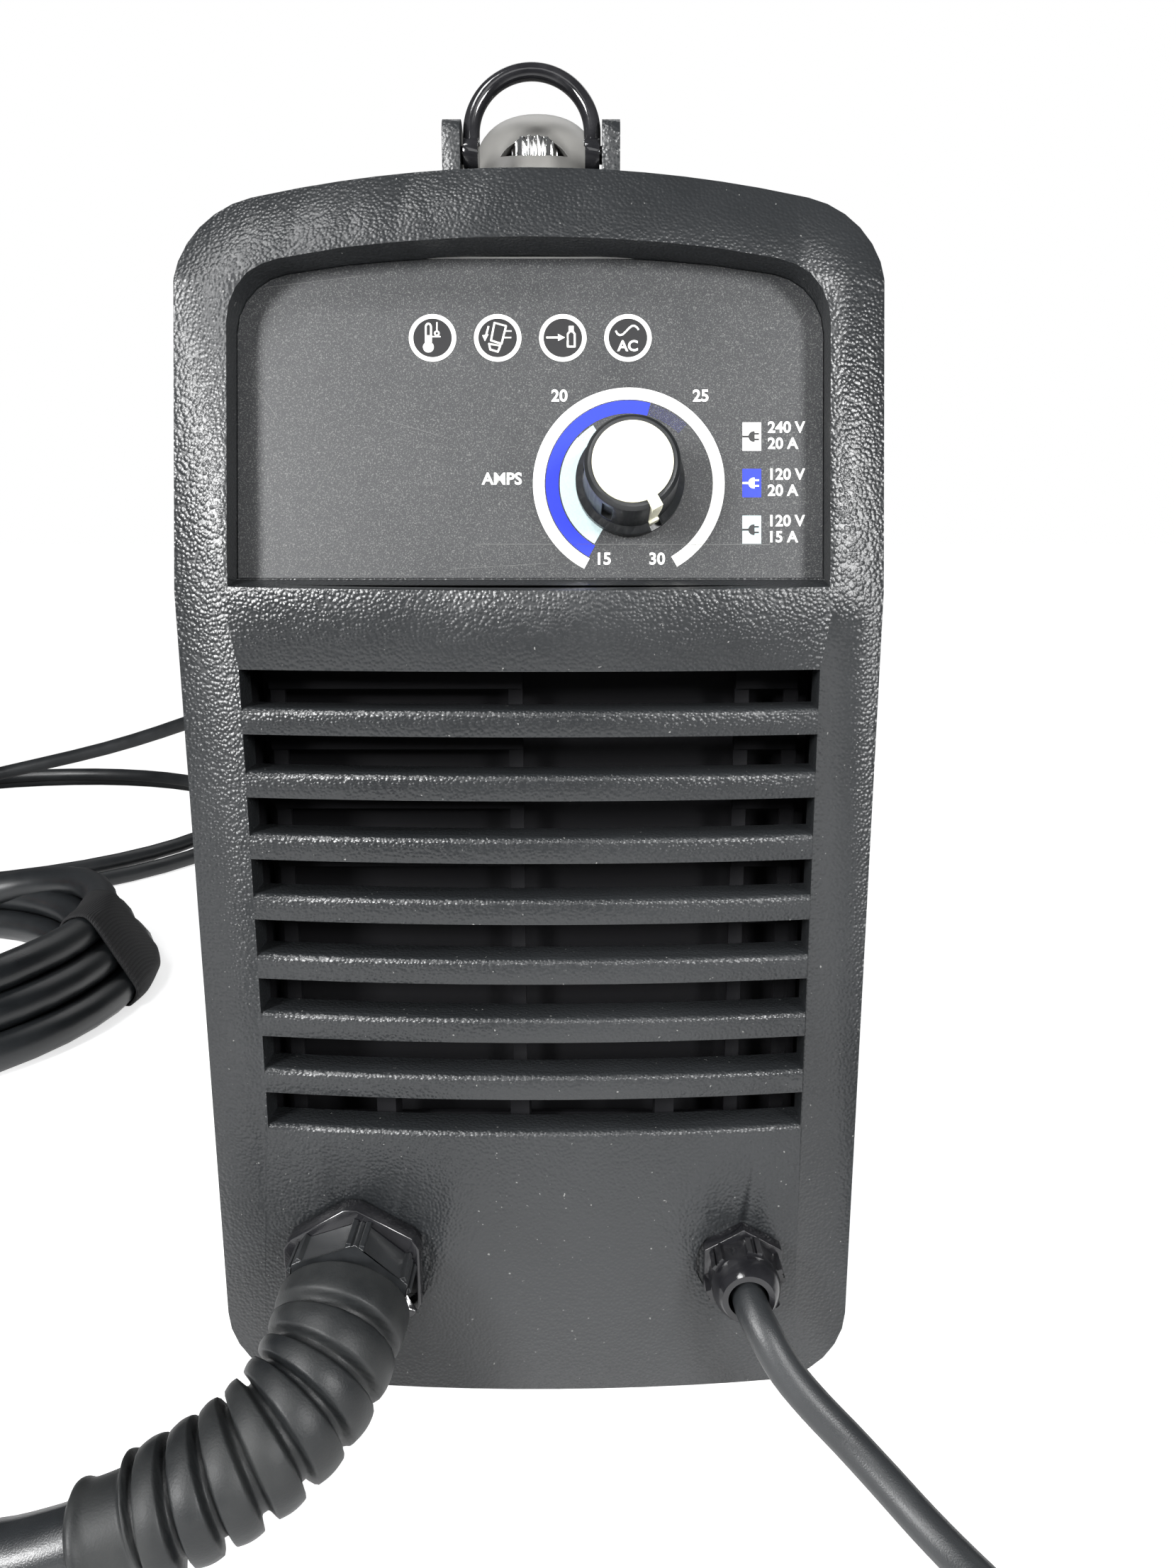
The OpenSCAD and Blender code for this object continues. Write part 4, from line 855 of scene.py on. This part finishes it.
def reaches(node):
    """Where a gland piece starts and ends along its axis, in millimetres."""
    along = [vert.co.y / MM for vert in nodes[node].data.vertices]
    return max(along), max(along) - min(along)


torch_nut_base, torch_nut_reach = reaches("torch_gland_nut")
work_nut_base, work_nut_reach = reaches("work_gland_nut")
torch_nut = turned_nut(-45, torch_nut_base, torch_nut_reach, 28, torch_nut_reach, 1.6, 8.5)
work_nut = turned_nut(52, work_nut_base, work_nut_reach, 16.6, 6.5, 1.2, 4.95)
for node, material, width, change in (
        ("torch_flange_nut", polished_black, 0.5, None),
        ("torch_gland_nut", gland_black, 0.25, torch_nut),
        ("work_gland_base", polished_black, 0.35, None),
        ("work_gland_nut", polished_black, 0.2, work_nut),
        ("power_gland", gland_black, 0.5, None)):
    softened(node, material, width * MM, 3, change=change)


# ---------------------------------------------------------------- torch strain relief
# A tapered rubber sleeve over the lead: ribs between the turns of one helical slot, and a plain
# collar with a rounded lip. Two mould parting lines run along it, on opposite sides.
relief_path = smoothed(route(
    (-45, -185.5, 41.2), (-45.4, -190.5, 39.7), (-46.6, -197, 36.6), (-49.5, -203.5, 32.6),
    (-54.5, -210, 28.6), (-61, -215, 25), (-69, -218.8, 21.6), (-78, -221.8, 18.4),
    (-87.5, -224.2, 15.6), (-93.8, -225.3, 14.1)), 30)
relief_sides = 72
relief_start, relief_taper, collar_r = 15.9 * MM, 2.5 * MM, 10.9 * MM
slot_pitch, slot_deep = 7.6 * MM, 2.9 * MM


def evenly(points, step):
    """The same curve with its points a step apart."""
    even, left = [points[0]], step
    for a, b in zip(points, points[1:]):
        span = (b - a).length
        at = left
        while at <= span:
            even.append(a.lerp(b, at / span))
            at += step
        left = at - span
    return even


def swept(name, path, radius_at, sides, material, body):
    """A closed tube along a path. The radius is given by the distance along it and the angle round it."""
    form = bmesh.new()
    rings, gone = [], 0.0
    total = length_of(path)
    for k, centre in enumerate(path):
        if k:
            gone += (centre - path[k - 1]).length
        ahead = (path[min(k + 1, len(path) - 1)] - path[max(k - 1, 0)]).normalized()
        side = ahead.cross(Vector((0, 0, 1))).normalized()
        up = side.cross(ahead)
        ring = []
        for j in range(sides):
            angle = 2 * math.pi * j / sides
            reach = radius_at(gone, total, angle)
            ring.append(form.verts.new(centre + reach * (math.cos(angle) * side + math.sin(angle) * up)))
        rings.append(ring)
    walled(form, rings)
    form.faces.new(rings[0][::-1])
    form.faces.new(rings[-1])
    mesh = closed_mesh(form, name)
    mesh.materials.append(material)
    mesh.shade_smooth()
    piece = placed(name, mesh)
    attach(piece, body)
    return piece


def relief_radius(gone, total, angle):
    """Rounded ribs between the turns of one helical slot, then a plain collar with a lip."""
    share = gone / total
    first, last = 0.05 * total, 0.82 * total
    base = relief_start - relief_taper * share
    turn = (gone - first) / slot_pitch - angle / (2 * math.pi)
    phase = turn % 1.0
    open_share, wall = 0.26, 0.10
    slot = eased(phase / wall) * eased((open_share + wall - phase) / wall)
    crown = 0.5 * MM * (1 - math.sin(math.pi * min(max((phase - open_share) / (1 - open_share), 0), 1)))
    ribbed = eased((gone - first) / (0.6 * slot_pitch)) * eased((last - gone) / (0.25 * slot_pitch) + 1)
    radius = base - (slot_deep * slot + crown) * ribbed
    radius += (collar_r - radius) * eased((gone - last) / (2.2 * MM))
    seams = (0.5, 0.5 + math.pi)
    seam = 0.2 * MM * (1 - slot) * sum(
        math.exp(-((math.remainder(angle - at, 2 * math.pi)) * base / (0.35 * MM)) ** 2) for at in seams)
    lip = 0.8 * MM * math.exp(-((share - 0.975) * total / (1.6 * MM)) ** 2)
    rim = -1.2 * MM * (1 - eased((total - gone) / (1.2 * MM))) - 0.7 * MM * (1 - eased(gone / (0.8 * MM)))
    return radius + seam + lip + rim


relief_rubber, tree, shader, coords = new_material("relief_rubber", (0.012, 0.013, 0.014), 0.42)
bloom = noise(tree, coords, 55, 4, 0.6)
mottled(tree, shader, bloom, ((0.006, 0.007, 0.008), (0.018, 0.019, 0.019)), (0.42, 0.6))
shader.inputs["Specular IOR Level"].default_value = 0.3
bumped(tree, shader, noise(tree, coords, 1800, 3), 0.00005)
relief = swept("torch_relief_ribbed", evenly(relief_path, 0.36 * MM), relief_radius, relief_sides,
               relief_rubber, body_of["torch_relief"])
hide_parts("torch_relief")


# ---------------------------------------------------------------- strap loop and carry handle
# A polished black rod loop on the crown, and the satin grey handle with a fluted chrome bolt
# seen in the half-moon window of its front foot.
bail_gloss = moulded_material("bail_gloss", (0.007, 0.007, 0.008), 0.10, 700, 0.00001)
softened("strap_bail", bail_gloss, 0.25 * MM, 2, 50)

# Stations of the handle: Y and Z of its middle line, lean in degrees, thickness, share of the width
handle_line = (
    (-108.5, 286.2, 0, 24, 1.05), (-108.5, 299, 0, 24, 1.05), (-107.4, 306, 12, 24, 1.02),
    (-102.5, 313.5, 36, 22.5, 0.96), (-93.5, 318.3, 60, 20.5, 0.90), (-80, 321.8, 74, 20, 0.86),
    (-60, 326.3, 78, 20, 0.85), (-30, 331.3, 84, 20, 0.85), (0, 333.5, 90, 20, 0.85),
    (30, 333.5, 92, 20, 0.85), (60, 331, 97, 20, 0.85), (82, 327, 107, 20.5, 0.87),
    (98, 319, 125, 22, 0.92), (107, 308, 150, 23.5, 1.0), (110, 298, 175, 24, 1.04),
    (110.5, 286.2, 180, 24, 1.04))
handle_half, handle_sides, roundness = 16.5, 48, 2.2
window_low, window_high, window_r = 312.3, 317.1, 9.7
bolt_y, bolt_r, flutes = -105.5, 7.6, 12


def half_moon(name, near, far):
    """The window's outline pushed from one Y to another: a segment of a disc."""
    middle_z = window_high - window_r
    half = math.degrees(math.acos((window_low - middle_z) / window_r))
    return prism(name, arc_line((0, middle_z), window_r, 90 - half, 90 + half, 24), 1, near, far)


def blended_stations(stations, pieces):
    """More stations on a smooth line through the given ones."""
    finer = []
    for k in range(len(stations) - 1):
        four = [stations[min(max(k + i, 0), len(stations) - 1)] for i in (-1, 0, 1, 2)]
        for step in range(pieces):
            t = step / pieces
            finer.append([0.5 * (2 * b + (c - a) * t + (2 * a - 5 * b + 4 * c - d) * t * t
                                 + (3 * b - a - 3 * c + d) * t ** 3) for a, b, c, d in zip(*four)])
    return finer + [list(stations[-1])]


def shaped_handle(_):
    """The handle as a skin of rounded sections, with the half-moon window cut in its front foot."""
    form = bmesh.new()
    rings = []
    for y, z, lean, thick, share in blended_stations(handle_line, 4):
        lean = math.radians(lean)
        ring = []
        for k in range(handle_sides):
            angle = 2 * math.pi * k / handle_sides
            c, n = math.cos(angle), math.sin(angle)
            across = math.copysign(abs(c) ** (2 / roundness), c) * handle_half * share
            through = math.copysign(abs(n) ** (2 / roundness), n) * thick / 2
            point = Vector((across, y - through * math.cos(lean), z + through * math.sin(lean)))
            ring.append(form.verts.new(point * MM))
        rings.append(ring)
    walled(form, rings)
    form.faces.new(rings[0])
    form.faces.new(rings[-1])
    return combined(closed_mesh(form, "handle"), half_moon("window", -135, bolt_y - 2), "DIFFERENCE")


def with_head(mesh):
    """Adds the fluted head that the window shows to the front bolt."""
    head = []
    for k in range(flutes * 12):
        angle = 2 * math.pi * k / (flutes * 12)
        reach = bolt_r - 1.0 * abs(math.sin(angle * flutes / 2)) ** 3
        head.append(Vector((reach * math.cos(angle), bolt_y + reach * math.sin(angle), 0)))
    form = bmesh.new()
    heights = (window_low - 1, window_high)
    rings = [[form.verts.new((point + Vector((0, 0, z))) * MM) for point in head] for z in heights]
    form.faces.new(rings[0])
    form.faces.new(rings[1])
    walled(form, rings)
    return combined(mesh, closed_mesh(form, "head"), "UNION")


satin, tree, shader, coords = new_material("handle_satin", (0.14, 0.138, 0.13), 0.38)
wipe = noise(tree, stretched(tree, coords, (1, 0.35, 1)), 45, 4, 0.6)
mottled(tree, shader, wipe, ((0.12, 0.118, 0.112), (0.17, 0.167, 0.158)), (0.34, 0.50))
bumped(tree, shader, noise(tree, coords, 3200, 3), 0.00002)
softened("carry_handle", satin, 0.5 * MM, 3, 40, change=shaped_handle)

chrome, tree, shader, coords = new_material("chrome", (0.86, 0.86, 0.85), 0.10, 1.0)
tree.links.new(ranged(tree, noise(tree, coords, 420, 3), 0.06, 0.2), shader.inputs["Roughness"])
softened("handle_bolts", chrome, 0.2 * MM, 2, 50, change=with_head)


# ---------------------------------------------------------------- case, rear and feet
# A powder-coated sheet cover over a galvanised tray, the same pebbled moulding at the rear and
# four rubber feet. Screws hold the cover to both mouldings.
powder, tree, shader, coords = new_material("powder_coat", (0.030, 0.031, 0.034), 0.45)
bumped(tree, shader, noise(tree, coords, 1300, 2), 0.00010)
smears = noise(tree, coords, 11, 5, 0.6)
mottled(tree, shader, smears, ((0.026, 0.027, 0.030), (0.048, 0.049, 0.051)), (0.38, 0.54))
softened("case_cover", powder, 0.4 * MM)
softened("rear_bezel", moulding, 0.8 * MM)

zinc, tree, shader, coords = new_material("zinc_sheet", (0.60, 0.61, 0.63), 0.34, 1.0)
flakes = tree.nodes.new("ShaderNodeTexVoronoi")
flakes.inputs["Scale"].default_value = 220
tree.links.new(coords, flakes.inputs["Vector"])
tree.links.new(ranged(tree, flakes.outputs["Distance"], 0.28, 0.46, 0, 1), shader.inputs["Roughness"])
softened("base_tray", zinc, 0.3 * MM)

screw_black = moulded_material("blackened_steel", (0.05, 0.05, 0.052), 0.30)
softened("case_screws", screw_black, 0.2 * MM)
rubber = jacket_material("foot_rubber", (0.020, 0.020, 0.021), 0.6)
softened("rubber_feet", rubber, 0.4 * MM)


# ---------------------------------------------------------------- rear fittings
# Fan and grille, rocker switch and brass air inlet.
def moulded_part(node, look, colour, rough, width, segments=2):
    """Finishes a node in a moulded plastic of its own."""
    softened(node, moulded_material(look, colour, rough), width * MM, segments)


fan_plastic = moulded_material("fan_plastic", (0.018, 0.018, 0.019), 0.42)
softened("fan_frame", fan_plastic, 0.4 * MM)
softened("fan_rotor", fan_plastic, 0.3 * MM)
moulded_part("switch_housing", "switch_frame", (0.012, 0.012, 0.013), 0.3, 0.4)
moulded_part("switch_rocker", "switch_gloss", (0.010, 0.010, 0.011), 0.18, 0.5, 3)


def metal_material(name, colour, rough, scratch=(1, 1, 0.06)):
    """Turned or drawn metal with fine lines along it."""
    material, tree, shader, coords = new_material(name, colour, rough, 1.0)
    lines = noise(tree, stretched(tree, coords, scratch), 2600, 3)
    tree.links.new(ranged(tree, lines, rough - 0.08, rough + 0.12), shader.inputs["Roughness"])
    stain = noise(tree, coords, 120, 4, 0.6)
    darker = tuple(c * 0.8 for c in colour)
    tree.links.new(blended(tree, ranged(tree, stain, 0, 1), darker, colour), shader.inputs["Base Color"])
    bumped(tree, shader, lines, 0.00001)
    return material


brass = metal_material("brass", (0.78, 0.57, 0.25), 0.24)
steel = metal_material("bright_steel", (0.62, 0.62, 0.63), 0.24)
copper = metal_material("copper", (0.80, 0.42, 0.26), 0.28)
alloy = metal_material("cast_alloy", (0.70, 0.71, 0.72), 0.36)
softened("gas_inlet", brass, 0.25 * MM)


# ---------------------------------------------------------------- works inside the case
# The dial's shaft and potentiometer, boards, heatsink, capacitors, transformer, gas valve and
# filter, mostly hidden by the cover.
laminate = moulded_material("green_laminate", (0.010, 0.085, 0.030), 0.36)
sleeve = moulded_material("capacitor_sleeve", (0.020, 0.035, 0.10), 0.3)
core_iron = moulded_material("ferrite", (0.045, 0.045, 0.05), 0.5)
enamel = metal_material("enamelled_copper", (0.62, 0.27, 0.12), 0.3, (0.05, 0.05, 1))
bowl = moulded_material("filter_body", (0.45, 0.46, 0.47), 0.35)
for node, material, slot_name in (
        ("dial_shaft", steel, "steel"), ("potentiometer", brass, "brass"),
        ("control_board", laminate, "board"),
        ("power_board", laminate, "board"), ("heatsink", alloy, "alloy"), ("capacitors", sleeve, "dark"),
        ("transformer_core", core_iron, "dark"), ("transformer_coils", enamel, "copper"),
        ("gas_valve", brass, "brass"), ("air_filter", bowl, "filter")):
    softened(node, material, 0.3 * MM)


# ---------------------------------------------------------------- coil strap and tie
# Black woven hook-and-loop bands that hold the torch lead's and the work lead's coils.
webbing, tree, shader, coords = new_material("webbing", (0.007, 0.007, 0.008), 0.8)
weave = []
for direction in ("X", "Y"):
    wave = tree.nodes.new("ShaderNodeTexWave")
    wave.bands_direction = direction
    wave.inputs["Scale"].default_value = 330
    wave.inputs["Distortion"].default_value = 0.5
    tree.links.new(coords, wave.inputs["Vector"])
    weave.append(wave.outputs["Fac"])
weave_relief_and_painted_shade = tree.nodes.new("ShaderNodeMath")
weave_relief_and_painted_shade.operation = "MULTIPLY"
tree.links.new(weave[0], weave_relief_and_painted_shade.inputs[0])
tree.links.new(weave[1], weave_relief_and_painted_shade.inputs[1])
bumped(tree, shader, weave_relief_and_painted_shade.outputs[0], 0.0003)
# The weave's hollows are painted darker than its raised threads: painted shade, from the same pattern that
# raises them.
tree.links.new(blended(tree, weave_relief_and_painted_shade.outputs[0], (0.003, 0.003, 0.004), (0.014, 0.014, 0.015)),
               shader.inputs["Base Color"])
work_tie = softened("work_coil_tie", webbing, 0.9 * MM, 3)

coil_centre, bundle_r = (-333, 95), 108
strap_turn, strap_w, strap_t, strap_gap = math.radians(8), 40, 2.2, 0.3
bundle_high, lead_r = 18, 8
bundle = ((-16, 8), (16, 8), (8, 21.9), (-8, 21.9), (0, 35.7))
form = bmesh.new()
rows = []
columns, around = 17, 72
for column in range(columns):
    across = column / (columns - 1) - 0.5
    turn = strap_turn + across * strap_w / bundle_r
    out = Vector((math.cos(turn), math.sin(turn)))
    for gap in (strap_gap, strap_t):
        ring = []
        edge = 0.6 * (2 * abs(across)) ** 6
        for k in range(around):
            angle = 2 * math.pi * k / around
            aim = Vector((math.cos(angle), math.sin(angle)))
            # the furthest lead in this direction holds the band, as a loop drawn tight round the bundle
            hold = max((Vector(lead) - Vector((0, bundle_high))).dot(aim) for lead in bundle) + lead_r
            wave = 0.35 * math.sin(5 * angle + 9 * across) * (0.3 + abs(across))
            ring.append((hold + gap + wave - (edge if gap > 1 else -edge * 0.3), aim))
        # corner points of the tight loop: where neighbouring tangent lines meet
        points = []
        for k in range(around):
            (h0, a0), (h1, a1) = ring[k], ring[(k + 1) % around]
            cross = a0.x * a1.y - a0.y * a1.x
            points.append(Vector(((h0 * a1.y - h1 * a0.y) / cross, (h1 * a0.x - h0 * a1.x) / cross)))
        place = []
        for point in points:
            radius = bundle_r + point.x
            corner = (coil_centre[0] + radius * out.x, coil_centre[1] + radius * out.y,
                      max(point.y + bundle_high, 0.1 if gap > 1 else 0.5))
            place.append(form.verts.new(Vector(corner) * MM))
        rows.append(place)
for column in range(columns - 1):
    inside, outside, next_in, next_out = rows[2 * column:2 * column + 4]
    for k in range(around):
        after = (k + 1) % around
        form.faces.new((outside[k], outside[after], next_out[after], next_out[k]))
        form.faces.new((inside[after], inside[k], next_in[k], next_in[after]))
for inside, outside in (rows[:2], rows[-2:]):
    for k in range(around):
        after = (k + 1) % around
        form.faces.new((inside[k], inside[after], outside[after], outside[k]))
mesh = closed_mesh(form, "torch_coil_strap")
mesh.materials.append(webbing)
mesh.shade_smooth()
torch_strap = placed("torch_coil_strap", mesh)
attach(torch_strap, body_of["coil_strap"])
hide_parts("coil_strap")


# ---------------------------------------------------------------- hand torch
# Two matt grip halves round the lead, an orange trigger under its yellow safety, a black head
# with a ribbed retaining cap, and the copper nozzle.
torch_grip = pebble_material("torch_grip", (0.026, 0.026, 0.028), 0.46, 0.0008, 0.00006)
for node in ("torch_shell_left", "torch_shell_right"):
    softened(node, torch_grip, 0.4 * MM, 2, 40)
moulded_part("torch_trigger", "trigger_orange", (0.62, 0.10, 0.015), 0.36, 0.6, 3)
moulded_part("torch_safety", "safety_yellow", (0.75, 0.50, 0.02), 0.34, 0.5, 3)
moulded_part("torch_head", "torch_head_black", (0.016, 0.016, 0.017), 0.4, 0.5)
moulded_part("torch_cap", "shield_cap", (0.030, 0.030, 0.032), 0.5, 0.4)
softened("torch_nozzle", copper, 0.2 * MM)


# ---------------------------------------------------------------- work clamp and plug
# A pressed steel clamp with copper jaw pads on a torsion spring, and the moulded mains plug.
for node in ("clamp_jaw_lower", "clamp_jaw_upper", "clamp_pin", "clamp_spring"):
    softened(node, steel, 0.4 * MM)
softened("clamp_contacts", copper, 0.2 * MM)
plug = softened("plug_body", jacket_material("plug_rubber", (0.012, 0.012, 0.013), 0.45), 0.5 * MM)
blades = softened("plug_blades", brass, 0.25 * MM)
